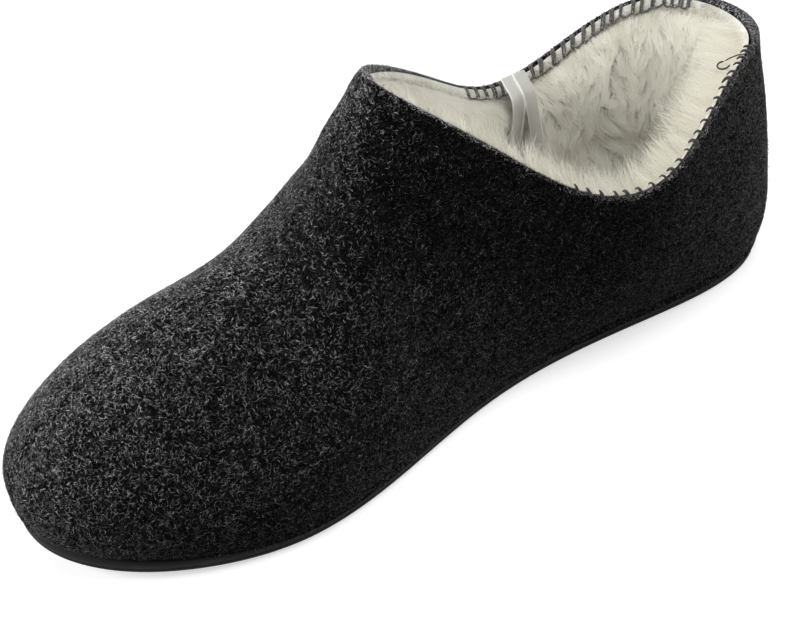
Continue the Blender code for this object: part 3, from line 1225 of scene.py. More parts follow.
    def build(self) -> Piece:
        """Return the felt shell, and keep its outer faces for the fibres."""
        grids = self.outer_grids()
        faces = Sewing()
        for side, (grid, _, _) in grids.items():
            faces.add(grid, flip=side is Side.INNER)
        shell = Sewing()
        for (side, (grid, station, rise)), normal in zip(grids.items(), faces.normals()):
            flip = side is Side.INNER
            outer = grid + normal * self.relief(grid)[..., None] * ease(rise / self.foot_taper)[..., None]
            self.patches[side] = Patch(outer, normal, station, rise)
            depth = mix(self.rim_at(station), self.thickness, ease((1 - rise) / self.rim_taper))
            depth = mix(depth, self.thickness, self.last.crowned(station))
            inner = grid - normal * depth[..., None]
            inner[:, 0] += UP * self.hang * (1 - self.toe_share(station[:, :1]))
            keep = np.unique(np.linspace(0, grid.shape[1] - 1, self.inner_rises + 1).astype(int))
            shell.add(outer, flip)
            shell.add(inner[:, keep], not flip)
            shell.add(self.lower_edge(side, outer[:, 0], inner[:, 0], station[:, 0]), not flip)
            edge = self.rolled_edge(outer, inner, station[:, 0])
            shell.add(edge, flip)
            self.rims[side] = self.rim_patch(edge, station[:, 0])
        return shell.piece("felt_upper", self.last)

    def lower_edge(self, side: Side, outer: Array, inner: Array, station: Array) -> Array:
        """Return the felt's lower edge, which hangs a little over the rim of the sole.

        Args:
            side: The side of the foot.
            outer: The lowest points of the outer face.
            inner: The lowest points of the inner face.
            station: Their stations.

        Returns:
            The grid of the edge, from the outer to the inner face.
        """
        way = np.column_stack([self.last.outward(side, station), np.zeros(len(station))])
        low = outer - way * self.hang_wall
        high = np.column_stack([low[:, :2], inner[:, 2]])
        return np.stack([outer, low, high, inner], axis=1)

    def rim_patch(self, edge: Array, station: Array) -> Patch:
        """Return the rounded edge of the collar as a face for fibres.

        Args:
            edge: The grid of the edge.
            station: The stations of its columns.

        Returns:
            The face.
        """
        along, across = np.gradient(edge, axis=(0, 1))
        normal = unit(np.cross(along, across))
        normal = normal * np.sign(normal @ UP)[..., None]
        stations = np.broadcast_to(station[:len(edge), None], edge.shape[:2])
        return Patch(edge, normal, stations, np.ones(edge.shape[:2]))

    def rolled_edge(self, outer: Array, inner: Array, station: Array) -> Array:
        """Return the rounded edge of the collar of one side.

        Args:
            outer: The grid of the outer face.
            inner: The grid of the inner face.
            station: The stations of the grids' columns.

        Returns:
            The grid of the edge, from the outer to the inner face.
        """
        count = self.collar_steps + 1
        first, last = outer[:count, -1], inner[:count, -1]
        crowned = self.last.crowned(station[:count])[:, None]
        way = unit(mix(unit(first - outer[:count, -2]), UP, crowned))
        angle = np.linspace(0, np.pi, self.roll_steps + 1)[None, :, None]
        half = (first - last)[:, None] / 2
        lift = self.roll * (1 - self.roll_fade * crowned)
        return (first + last)[:, None] / 2 + half * np.cos(angle) + (way * lift)[:, None] * np.sin(angle)

    def dress(self) -> None:
        """Build the felt and give it its finish."""
        attach(self.build(), Slot.FELT, FeltFinish().material(), "upper")


@dataclass
class FeltFibres:
    """Loose fibres on the face of the felt and on the edge of its collar."""

    last: Last
    felt: FeltUpper
    # How many on each side, and their form
    count: int = 92000
    rim_count: int = 6000
    rim_stand: float = 0.6
    length: tuple[float, float] = (1.0, 2.3)
    width: tuple[float, float] = (0.09, 0.19)
    stray_share: float = 0.06
    stray_stretch: float = 2.2
    stray_width: float = 0.5
    turn: float = 1.3
    lift: tuple[float, float] = (1.5, 0.09)
    root: float = 0.1
    bow: float = 0.12
    middle_lift: float = 0.7
    tip_lift: tuple[float, float] = (-0.8, 0.9)
    facing_chance: float = 0.22
    seed: int = 11
    # Tones, with painted light and shade: fibres paler where the felt faces a given way and darker where it
    # faces away
    dark_tones: tuple[float, float] = (0.0, 0.2)
    pale_spread: tuple[float, float] = (2.4, 1.8)
    painted_light_way: tuple[float, float, float] = (-0.66, -0.60, 0.45)
    painted_light_by_facing: float = 0.22
    painted_light_shift: float = -0.03
    # Painted shade: a darker band under the collar, with more dark fibres, which leaves out the tip at the
    # throat
    painted_band_shade: float = 0.12
    dark_shares: tuple[float, float] = (0.42, 0.68)
    band_rise: float = 0.4
    band_climb: float = 2.3
    band_stations: tuple[float, float] = (0.08, 0.71)
    band_ends: tuple[float, float] = (0.1, 0.07)
    band_fade: float = 0.25
    tip_half: float = 0.06
    tip_edge: float = 0.5
    tip_rise: float = 0.65
    tip_fade: float = 0.3
    # Edge of the collar, paler at the throat
    rim_tone: float = 0.12
    throat_tone: float = 0.4
    throat_band: tuple[float, float] = (0.44, 0.06)
    # Colours of the tones
    stops: Stops = (
        (0.0, grey(0.001)),
        (0.25, grey(0.005)),
        (0.5, grey(0.062)),
        (0.8, grey(0.25)),
        (1.0, grey(0.54)),
    )

    def painted_collar_band(self, spots: Spots) -> Array:
        """Return how far places lie in the band of painted shade under the collar, from 0 to 1.

        Args:
            spots: The places.

        Returns:
            The share at each place.
        """
        first, last = self.band_stations
        first_end, last_end = self.band_ends
        along = ease((spots.station - first) / first_end) * ease((last - spots.station) / last_end)
        ahead = spots.station - self.last.throat_station
        near = ease((1 - np.abs(ahead) / self.tip_half) / self.tip_edge)
        tip = near * ease((spots.rise - self.tip_rise) / self.tip_fade)
        foot = self.band_rise + self.band_climb * np.maximum(ahead, 0)
        return along * ease((spots.rise - foot) / self.band_fade) * (1 - tip)

    def tones(self, spots: Spots, on_rim: bool, rng: Chance) -> Array:
        """Return the tones of fibres at places, of which some are dark and the rest pale.

        Args:
            spots: The places.
            on_rim: Whether they lie on the collar's edge, which is paler at the throat.
            rng: The source of chance.

        Returns:
            The tone of each fibre.
        """
        count = len(spots.point)
        # Painted shade: in the band under the collar more fibres are dark and all of them are darker
        band = np.zeros(count) if on_rim else self.painted_collar_band(spots)
        dark = rng.random(count) < mix(*self.dark_shares, band)
        tones = np.where(dark, rng.uniform(*self.dark_tones, count), rng.beta(*self.pale_spread, count))
        # Painted light and shade: fibres are paler where the face turns towards painted_light_way and darker
        # where it turns away
        tones += self.painted_light_by_facing * (spots.normal @ unit(np.array(self.painted_light_way))) + self.painted_light_shift
        tones -= self.painted_band_shade * band
        if on_rim:
            start, width = self.throat_band
            tones += self.rim_tone + self.throat_tone * ease((spots.station - start) / width)
        return tones

    def strands(self, patch: Patch, count: int, on_rim: bool, rng: Chance) -> Strands:
        """Return loose fibres on a face of the felt.

        Args:
            patch: The face.
            count: How many fibres.
            on_rim: Whether the face is the collar's edge, where fibres are shorter.
            rng: The source of chance.

        Returns:
            The fibres, each with one bend.
        """
        scale = self.rim_stand if on_rim else 1.0
        density = np.ones_like(patch.rises)
        density[:, 0] -= self.felt.toe_share(patch.stations[:, 0])
        spots = patch.spots(count, density, rng)
        angle = rng.uniform(0, 2 * np.pi, count)
        turn = angle + rng.normal(0, self.turn, count)
        stray = rng.random(count) < self.stray_share
        length = rng.uniform(*self.length, count) * np.where(stray, self.stray_stretch, 1) * scale
        half = length[:, None] / 2
        across = unit(np.cross(spots.up, spots.normal))
        first = across * np.cos(angle)[:, None] + spots.up * np.sin(angle)[:, None]
        second = across * np.cos(turn)[:, None] + spots.up * np.sin(turn)[:, None]
        lift = rng.gamma(*self.lift, count)[:, None] * scale
        root = spots.point - spots.normal * self.root
        middle = root + first * half + spots.normal * (self.bow + lift * self.middle_lift)
        tip = middle + second * half + spots.normal * (lift * rng.uniform(*self.tip_lift, (count, 1)))
        width = rng.uniform(*self.width, count) * np.where(stray, self.stray_width, 1)
        tones = self.tones(spots, on_rim, rng)
        facing = unit(spots.normal + rng.normal(0, self.facing_chance, (count, 3)))
        lines = np.stack([root, middle, tip], axis=1)
        return Strands(lines, np.repeat(width[:, None], lines.shape[1], axis=1), facing, tones)

    def piece(self, side: Side, rng: Chance) -> Piece:
        """Return the fibres of one side.

        Args:
            side: The side of the foot.
            rng: The source of chance.

        Returns:
            The fibres as one object.
        """
        wall = self.strands(self.felt.patches[side], self.count, False, rng)
        rim = self.strands(self.felt.rims[side], self.rim_count, True, rng)
        return wall.joined(rim).piece(f"felt_fibres_{side.name.lower()}", self.last)

    def dress(self) -> None:
        """Lay the fibres on both sides and give them their finish."""
        finish = StrandFinish(
            name="charcoal_felt_fibres",
            stops=self.stops,
            drift_scale=210.0,
            drift=0.4,
            sheen=0.12,
            sheen_roughness=0.5,
            specular=0.02,
            bloom=0.85,
        ).material()
        rng = np.random.default_rng(self.seed)
        for side in Side:
            fibres = self.piece(side, rng)
            fibres.visible_shadow = False
            attach(fibres, Slot.FELT, finish)


@dataclass
class Pile:
    """Strands of plush that lean together in locks, and locks that drift together."""

    length: tuple[float, float]
    width: tuple[float, float]
    lock_size: int
    steps: int = 4
    # How locks turn and lean
    swirl: float = 1.7
    swirl_size: float = 12.0
    swirl_shift: float = 3.1
    swirl_chance: float = 0.6
    lean: float = 0.9
    lean_drift: float = 0.6
    lean_size: float = 9.0
    lean_shift: float = 17.7
    # How strands keep to their lock and bend
    rim_straight: float = 0.8
    rim_lift: float = 0.3
    rim_loose: float = 0.4
    lock_stretch: tuple[float, float] = (0.8, 1.15)
    fray: float = 0.22
    gather: float = 0.5
    sag: float = 0.08
    knee: float = 0.5
    knee_chance: float = 0.05
    taper: float = 1.5
    facing_chance: float = 0.12
    # Tones, with painted shade that darkens the roots
    tone: float = 0.62
    tone_chance: float = 0.09
    lock_tone: float = 0.12
    painted_root_shade: float = 0.25
    stops: Stops = (
        (0.0, (0.40, 0.38, 0.30, 1.0)),
        (0.5, (0.60, 0.58, 0.505, 1.0)),
        (1.0, (0.69, 0.68, 0.625, 1.0)),
    )

    def finish(self) -> Material:
        """Return the finish of the strands."""
        return StrandFinish(
            name="white_plush_pile",
            stops=self.stops,
            drift_scale=60.0,
            drift=0.4,
            sheen=0.3,
            sheen_roughness=0.4,
            specular=0.1,
        ).material()

    def locks(self, spots: Spots, rng: Chance) -> tuple[Array, Array]:
        """Return the middles of the locks, and the number of the lock that each root is in.

        Args:
            spots: The roots.
            rng: The source of chance.

        Returns:
            The middles, and each root's lock.
        """
        chosen = rng.choice(len(spots.point), len(spots.point) // self.lock_size, replace=False)
        centres = spots.point[chosen]
        tree = KDTree(len(centres))
        for number, root in enumerate(centres):
            tree.insert(root, number)
        tree.balance()
        return centres, np.array([tree.find(root)[1] for root in spots.point])

    def strands(self, spots: Spots, facing: Array, over: Array, stretch: Array, shade: Array,
                rng: Chance) -> Strands:
        """Return the strands.

        Args:
            spots: Their roots.
            facing: The way that the surface of the pile faces at each root.
            over: How far each root lies at the rim, from 0 to 1, where the pile stands straight out.
            stretch: The share of the strands' usual length at each root.
            shade: How much darker each strand is painted than usual, as painted shade, or paler below 0, as
                painted light.
            rng: The source of chance.

        Returns:
            The strands.
        """
        count = len(spots.point)
        centres, lock = self.locks(spots, rng)
        drift = drift_at(centres, self.swirl_size, self.swirl_shift)
        swirl = (self.swirl * drift + rng.normal(0, self.swirl_chance, len(centres)))[lock][:, None]
        drift = drift_at(centres, self.lean_size, self.lean_shift)
        lean = (self.lean + self.lean_drift * drift)[lock][:, None]
        comb = spots.along * np.sin(swirl) - spots.up * np.cos(swirl)
        comb = comb * lean * (1 - self.rim_straight * over) + UP * over * self.rim_lift
        length = rng.uniform(*self.length, count)[:, None] * stretch
        length = length * rng.uniform(*self.lock_stretch, len(centres))[lock][:, None]
        own = unit(spots.normal + comb + rng.normal(0, self.fray, (count, 3)))
        head = centres[lock] + unit(spots.normal + comb) * length
        gather = self.gather * np.minimum(stretch, 1) * (1 - self.rim_loose * over)
        tip = mix(spots.point + own * length, head, gather)
        tip = tip - UP * length * self.sag * (1 - over)
        knee = spots.normal * self.knee + rng.normal(0, self.knee_chance, (count, 3))
        knee = spots.point + knee * length
        share = np.linspace(0, 1, self.steps)[None, :, None]
        first, second, third = (1 - share) ** 2, 2 * share * (1 - share), share ** 2
        lines = first * spots.point[:, None] + second * knee[:, None] + third * tip[:, None]
        width = rng.uniform(*self.width, count)[:, None] * (1 - share[..., 0] ** self.taper)
        # Painted shade: each strand is darker by its shade, or paler where that is below 0
        tones = rng.normal(self.tone, self.tone_chance, count) - shade
        tones = np.clip(tones + rng.normal(0, self.lock_tone, len(centres))[lock], 0, 1)
        facing = unit(facing + rng.normal(0, self.facing_chance, (count, 3)))
        return Strands(lines, width, facing, tones)


class PileRow(NamedTuple):
    """Pile of one side: where its hem lies, how many strands, how long at the rim, and its painted shade, how
    much darker, or paler below 0 as painted light.
    """

    hem: float
    strands: int
    rim_length: float
    shade: float


@dataclass
class PlushLining:
    """The plush inside the felt, with its pile."""

    last: Last
    felt: FeltUpper
    # Depth of the pile, and the bands in which it changes
    pile: float = 8.0
    pile_at_rim: float = 6.0
    pile_under_vamp: float = 2.5
    pile_at_crown: float = 1.2
    rim_band: float = 0.2
    crown_band: float = 0.6
    throat_band: float = 0.5
    # Ground of the plush, with a lip along its hem
    wall: float = 3.3
    ground: float = 0.45
    lip_width: float = 2.7
    lip_height: float = 3.0
    lip_fade: float = 5.0
    drops: tuple[float, ...] = (0.2, 0.35, 0.6, 1.0, 1.5, 2.2, 3.0, 4.0, 5.2, 6.5, 8.0, 10.0, 12.5, 15.0)
    lower_rises: int = 14
    footbed_inset: float = 13.2
    footbed_height: float = 3.2
    turned_steps: int = 3
    collar_steps: int = 72
    vamp_steps: int = 22
    backing: float = 0.3
    # Strands of each side, with painted shade on the inner side's pile and painted light on the outer side's
    rows: dict[Side, PileRow] = field(default_factory=lambda: {
        Side.INNER: PileRow(hem=0.2, strands=38000, rim_length=2.2, shade=0.2),
        Side.OUTER: PileRow(hem=3.0, strands=48000, rim_length=1.2, shade=-0.1),
    })
    hair: Pile = field(default_factory=lambda: Pile(length=(5.0, 7.5), width=(0.10, 0.20), lock_size=34))
    # Painted shade of the fold above the footbed: a darker band of pile
    fold_height: float = 31.0
    fold_width: float = 2.2
    painted_fold_shade: float = 0.45
    fold_stations: tuple[float, float] = (0.08, 0.34)
    fold_fade: float = 0.05
    # Where the pile is short, thin or full
    fuzz: float = 0.2
    fuzz_length: float = 0.2
    fuzz_fade: float = 0.8
    hem_start: float = 0.6
    hem_fade: float = 1.2
    hidden_drop: float = 12.0
    hidden_fade: float = 10.0
    hidden_share: float = 0.12
    foot_share: float = 0.35
    foot_rise: float = 0.25
    full_drop: float = 9.0
    over_drop: float = 12.0
    wall_facing: float = 0.5
    rim_facing: float = 0.4
    rim_fullness: float = 2.2
    seed: int = 23
    patches: dict[Side, Patch] = field(default_factory=dict)

    def depth(self, station: Array, rise: Array, drop: Array) -> Array:
        """Return how deep below the felt's outer face the ground of the plush lies.

        Args:
            station: Stations of the points.
            rise: Their rises up the wall.
            drop: Their distances below the crest.

        Returns:
            The depths.
        """
        last = self.last
        under = last.crowned(station)
        throat = last.throat_station
        near = under * ease((1 - station) / (1 - throat) / self.throat_band - self.throat_band)
        at_rim = ease((rise - 1) / self.rim_band + 1)
        at_crown = near * ease((rise - 1) / self.crown_band + 1)
        pile = mix(mix(self.pile, self.pile_at_rim, at_rim), self.pile_under_vamp, under)
        pile = mix(pile, self.pile_at_crown, at_crown)
        share = np.clip(drop / self.lip_height, 0, 1)
        lip = self.felt.rim_at(station) + self.lip_width * np.sqrt(1 - (1 - share) ** 2)
        hemmed = (1 - ease((drop - self.lip_height) / self.lip_fade)) * (station < throat)
        return mix(self.wall + self.ground * pile, lip, hemmed)

    def build(self) -> Piece:
        """Return the ground of the plush, and keep its faces for the pile."""
        last = self.last
        station = last.stations(self.collar_steps, self.vamp_steps)
        grids = {}
        faces = Sewing()
        for side in Side:
            height = last.height(side, station)[:, None]
            upper = 1 - np.array(self.drops)[None] / height
            lower = np.linspace(0.0, 1.0, self.lower_rises + 1)[None, :-1] * upper[:, -1:]
            top = np.where(station[:, None] < last.throat_station, upper[:, :1], 1.0)
            rise = np.concatenate([lower, upper[:, :0:-1], top], axis=1)
            grid = last.wall(side, station, rise)
            grids[side] = grid, rise, (1 - rise) * height
            faces.add(grid, flip=side is Side.INNER)
        ground = Sewing()
        for (side, (grid, rise, drop)), normal in zip(grids.items(), faces.normals()):
            stations = np.broadcast_to(station[:, None], rise.shape)
            face = grid - normal * self.depth(stations, rise, drop)[..., None]
            turned = self.turned_rows(side, station, face[:, 0])
            face = np.concatenate([turned, face], axis=1)
            normal = np.concatenate([np.broadcast_to(UP, turned.shape), -normal], axis=1)
            rise = np.concatenate([np.zeros(turned.shape[:2]), rise], axis=1)
            self.patches[side] = Patch(face, normal, np.broadcast_to(station[:, None], rise.shape), rise)
            ground.add(face, flip=side is Side.OUTER)
        piece = ground.piece("plush_lining", last)
        backing = piece.modifiers.new("backing", "SOLIDIFY")
        backing.thickness = self.backing * MM
        backing.offset = -1.0
        return piece

    def turned_rows(self, side: Side, station: Array, foot: Array) -> Array:
        """Return the rows in which the ground turns in from the foot of the wall to the footbed.

        Args:
            side: The side of the foot.
            station: Stations from the heel to the toe.
            foot: The ground's lowest point on the wall for each of them.

        Returns:
            A grid of points, from the footbed to the wall.
        """
        last = self.last
        plan = last.plan(side, station) - last.outward(side, station) * self.footbed_inset
        spring = last.spring_at(-plan[:, 1] / last.length)
        end = np.column_stack([plan, last.sole + last.gap + self.footbed_height + spring])
        share = np.linspace(1, 0, self.turned_steps, endpoint=False)[None, :, None]
        return mix(foot[:, None], end[:, None], share)

    def pile_piece(self, side: Side, rng: Chance) -> Piece:
        """Return the pile of one side.

        Args:
            side: The side of the foot.
            rng: The source of chance.

        Returns:
            The pile as one object.
        """
        patch = self.patches[side]
        last = self.last
        height = last.height(side, patch.stations[:, 0])[:, None]
        drop = (1 - patch.rises) * height
        on_collar = patch.stations < last.throat_station
        # Each side's shade paints its pile darker, or paler below 0, standing for how that side is lit
        hem, count, rim_length, painted_side_shade = self.rows[side]
        under_vamp = last.crowned(patch.stations) * ease((drop - self.hidden_drop) / self.hidden_fade)
        hidden = np.where(on_collar, under_vamp, 1.0)
        density = mix(self.fuzz, 1.0, ease((drop - hem) / self.fuzz_fade))
        density = density * mix(1.0, self.hidden_share, hidden)
        density = density * mix(self.foot_share, 1.0, ease(patch.rises / self.foot_rise))
        density = density * mix(1.0, self.rim_fullness, ease(1 - drop / self.full_drop))
        spots = patch.spots(count, density, rng)
        below = (1 - spots.rise) * np.interp(spots.station, patch.stations[:, 0], height[:, 0])
        over = ease(1 - (below - hem) / self.over_drop)[:, None]
        facing = unit(mix(spots.normal + UP * self.wall_facing, UP + spots.normal * self.rim_facing, over))
        stretch = mix(self.fuzz_length, 1.0, ease((below - hem + self.hem_start) / self.hem_fade))[:, None]
        stretch = stretch * mix(1.0, rim_length, over)
        # Painted shade: the band above the footbed darkens the strands there
        shade = self.painted_fold_shade * self.painted_fold_band(spots) + painted_side_shade
        strands = self.hair.strands(spots, facing, over, stretch, shade, rng)
        return strands.piece(f"plush_pile_{side.name.lower()}", last, self.hair.painted_root_shade)

    def painted_fold_band(self, spots: Spots) -> Array:
        """Return how far places lie in the band of painted shade where the lining turns on to the footbed,
        from 0 to 1.

        Args:
            spots: The places.

        Returns:
            The share at each place.
        """
        first, last = self.fold_stations
        start = ease((spots.station - first) / self.fold_fade)
        end = ease((last - spots.station) / self.fold_fade)
        away = (spots.point[:, 2] - self.fold_height) / self.fold_width
        return start * end * np.exp(-away ** 2)

    def dress(self) -> None:
        """Build the plush and give it its finish."""
        attach(self.build(), Slot.PLUSH, PlushFinish().material(), "fur_lining")
        finish = self.hair.finish()
        rng = np.random.default_rng(self.seed)
        for side in Side:
            pile = self.pile_piece(side, rng)
            pile.visible_shadow = False
            attach(pile, Slot.PLUSH, finish)


class EdgeRow(NamedTuple):
    """A step of a plate's edge: how far inside the feather line, and how high above the plate's underside."""

    inset: float
    height: float


@dataclass
class Plate:
    """A plate that follows the feather line and the toe spring."""

    last: Last
    edge: tuple[EdgeRow, ...]
    bottom: float
    stations: int
    across: int

    def loops(self, side: Side) -> Array:
        """Return the steps of the edge on one side.

        Args:
            side: The side of the foot.

        Returns:
            A grid of points, one column for each station.
        """
        station = np.linspace(0, 1, self.stations + 1)
        rows = []
        for row in self.edge:
            plan = self.last.plan(side, station) - row.inset * self.last.outward(side, station)
            height = self.bottom + row.height + self.last.spring_at(-plan[:, 1] / self.last.length)
            rows.append(np.column_stack([plan, height]))
        return np.stack(rows, axis=1)

    def face(self, row: int) -> Array:
        """Return the grid of the plate's underside, for the edge's first row, or of its top, for its last.

        Args:
            row: The number of the edge's row.

        Returns:
            The grid.
        """
        share = np.linspace(0, 1, self.across + 1)[None, :, None]
        outer, inner = (self.loops(side)[:, row, None] for side in (Side.OUTER, Side.INNER))
        grid = mix(outer, inner, share)
        spring = self.last.spring_at(-grid[..., 1] / self.last.length)
        grid[..., 2] = self.bottom + self.edge[row].height + spring
        return grid

    def sewing(self, top: Array, underside: Array) -> Sewing:
        """Return the plate's edge, top and underside, ready to sew.

        Args:
            top: The grid of the top.
            underside: The grid of the underside.

        Returns:
            The grids.
        """
        sewing = Sewing()
        for side in Side:
            sewing.add(self.loops(side), flip=side is Side.INNER)
        sewing.add(underside, flip=True)
        sewing.add(top)
        return sewing


@dataclass
class Outsole:
    """The thin rubber sole with its fine ribs."""

    last: Last
    edge: tuple[EdgeRow, ...] = (
        EdgeRow(inset=2.2, height=0.0),
        EdgeRow(inset=1.5, height=0.3),
        EdgeRow(inset=1.0, height=1.0),
        EdgeRow(inset=0.8, height=1.9),
        EdgeRow(inset=1.0, height=2.2),
        EdgeRow(inset=0.8, height=2.5),
        EdgeRow(inset=0.8, height=3.8),
        EdgeRow(inset=1.1, height=4.8),
        EdgeRow(inset=1.8, height=5.3),
    )
    stations: int = 260
    across: int = 28
    # Zigzag ribs inside a plain border
    rib: float = 4.2
    rib_depth: float = 0.7
    border: float = 0.1
    border_fade: float = 0.05
    zigzag: float = 12.0
    groove_width: float = 1.5
    groove_level: float = 0.2

    def build(self) -> Piece:
        """Return the sole."""
        plate = Plate(self.last, self.edge, 0.0, self.stations, self.across)
        underside = plate.face(0)
        columns, ranks = np.indices(underside.shape[:2])
        rim = np.minimum(ranks, self.across - ranks) / self.across
        ends = np.minimum(columns, self.stations - columns) / self.stations
        inside = ease((rim - self.border) / self.border_fade) * ease((ends - self.border) / self.border_fade)
        zigzag = np.abs((underside[..., 0] / self.zigzag) % 2 - 1) * self.rib
        swing = np.cos((underside[..., 1] + zigzag) * 2 * np.pi / self.rib)
        groove = ease(swing * self.groove_width + self.groove_level)
        underside[..., 2] += self.rib_depth * inside * groove
        return plate.sewing(plate.face(-1), underside).piece("rubber_outsole", self.last)

    def dress(self) -> None:
        """Build the sole and give it its finish."""
        attach(self.build(), Slot.RUBBER, RubberFinish().material(), "outsole")


@dataclass
class PlushInsole:
    """The plush footbed with its pile."""

    last: Last
    edge: tuple[EdgeRow, ...] = (
        EdgeRow(inset=13.0, height=0.0),
        EdgeRow(inset=12.2, height=0.8),
        EdgeRow(inset=12.2, height=2.8),
        EdgeRow(inset=14.0, height=4.0),
    )
    stations: int = 70
    across: int = 16
    pile: int = 20000
    fill: float = 0.5
    toe_share: float = 0.25
    toe_start: float = 0.5
    toe_fade: float = 0.2
    seed: int = 37
    hair: Pile = field(default_factory=lambda: Pile(length=(4.0, 6.0), width=(0.12, 0.24), lock_size=24))

    def build(self) -> tuple[Piece, Array]:
        """Return the footbed, and the grid of its top."""
        plate = Plate(self.last, self.edge, self.last.sole + self.last.gap, self.stations, self.across)
        top = plate.face(-1)
        return plate.sewing(top, plate.face(0)).piece("plush_insole", self.last), top

    def pile_piece(self, top: Array) -> Piece:
        """Return the pile, which is thinner under the toes.

        Args:
            top: The grid of the footbed's top.

        Returns:
            The pile as one object.
        """
        share = -top[..., 1] / self.last.length
        patch = Patch(top, np.broadcast_to(UP, top.shape), share, np.zeros(top.shape[:2]))
        rng = np.random.default_rng(self.seed)
        density = mix(1.0, self.toe_share, ease((share - self.toe_start) / self.toe_fade))
        spots = patch.spots(self.pile, density, rng)
        level, usual = np.zeros((self.pile, 1)), np.ones((self.pile, 1))
        strands = self.hair.strands(spots, spots.normal, level, usual, np.zeros(self.pile), rng)
        return strands.piece("plush_insole_pile", self.last, self.hair.painted_root_shade)

    def dress(self) -> None:
        """Build the footbed and its pile and give them their finishes."""
        piece, top = self.build()
        attach(piece, Slot.PLUSH, PlushFinish().material(), "insole")
        attach(self.pile_piece(top), Slot.PLUSH, self.hair.finish())


class RibbonRow(NamedTuple):
    """A point of the ribbon: along the collar to the heel, down from its edge, in from the felt's face."""

    drift: float
    drop: float
    depth: float


@dataclass
class RibbonLoop:
    """The satin ribbon that hangs in a loop inside the collar's outer side."""

    last: Last
    station: float = 0.373
    hang_rise: float = 0.8
    width: float = 5.0
    thickness: float = 0.35
    steps: int = 96
    across: int = 20
    curl: float = 0.35
    selvage: float = 0.16
    border: float = 0.78
    border_fade: float = 0.1
    rows: tuple[RibbonRow, ...] = (
        RibbonRow(drift=-2.65, drop=-4.8, depth=4.4),
        RibbonRow(drift=-2.65, drop=-2.6, depth=7.8),
        RibbonRow(drift=-2.7, drop=0.8, depth=11.2),
        RibbonRow(drift=-2.9, drop=9.0, depth=12.4),
        RibbonRow(drift=-3.0, drop=18.0, depth=12.8),
        RibbonRow(drift=-2.0, drop=26.0, depth=13.8),
        RibbonRow(drift=1.2, drop=29.5, depth=15.4),
        RibbonRow(drift=4.2, drop=26.0, depth=16.6),
        RibbonRow(drift=5.0, drop=18.0, depth=16.0),
        RibbonRow(drift=4.0, drop=9.0, depth=14.0),
        RibbonRow(drift=2.8, drop=0.8, depth=11.4),
        RibbonRow(drift=2.65, drop=-2.6, depth=8.0),
        RibbonRow(drift=2.65, drop=-4.8, depth=4.4),
    )

    def frame(self) -> tuple[Array, Array, Array, Array]:
        """Return the point of the topline with the ribbon, and the ways to the heel, down and in."""
        stations = np.array((self.station - STEP, self.station, self.station + STEP))
        columns = self.last.wall(Side.OUTER, stations, np.array(((self.hang_rise, 1.0),) * 3))
        edge = columns[1, -1]
        to_heel = unit(columns[0, -1] - columns[2, -1])
        down = columns[1, 0] - edge
        down = unit(down - to_heel * (down @ to_heel))
        return edge, to_heel, down, np.cross(down, to_heel)

    def build(self) -> Piece:
        """Return the ribbon."""
        edge, to_heel, down, inward = self.frame()
        share = np.linspace(0, 1, len(self.rows))
        drift, drop, depth = (
            Spline(share, [getattr(row, column) for row in self.rows])(np.linspace(0, 1, self.steps + 1))
            for column in RibbonRow._fields
        )
        middle = edge + drift[:, None] * to_heel + drop[:, None] * down + depth[:, None] * inward
        face = unit(np.cross(np.gradient(middle, axis=0), to_heel))
        across = np.linspace(-1, 1, self.across + 1)
        curl = self.curl * across ** 2
        border = ease((np.abs(across) - self.border) / self.border_fade)
        grid = middle[:, None] + (across * self.width / 2)[None, :, None] * to_heel
        grid = grid + (curl + self.selvage * border)[None, :, None] * face[:, None]
        sewing = Sewing()
        sewing.add(grid)
        piece = sewing.piece("ribbon_loop_satin", self.last)
        points, _, numbers = sewing.sewn()
        levels = np.zeros(len(points), np.float32)
        levels[numbers[0]] = border
        piece.data.attributes.new("selvage", "FLOAT", "POINT").data.foreach_set("value", levels)
        body = piece.modifiers.new("thickness", "SOLIDIFY")
        body.thickness = self.thickness * MM
        body.offset = 0.0
        return piece

    def dress(self) -> None:
        """Build the ribbon and give it its finish."""
        attach(self.build(), Slot.SATIN, SatinFinish().material(), "ribbon_loop")


class StitchRow(NamedTuple):
    """Stitches at a station of the collar: their pitch, and the share of their way over the lip."""

    station: float
    pitch: float
    share: float


class KnotRow(NamedTuple):
    """A point of a stitch: in from the felt's outer face beyond a share of its edge, and below the crest."""

    share: float
    inward: float
    below: float


@dataclass
class Seam:
    """Overlock stitches along the collar of one side."""

    side: Side
    rows: tuple[StitchRow, ...]
    strands: int
    radius: float
    tip: float
    slant: float
    spread: float
    scallop: float
    lift: float


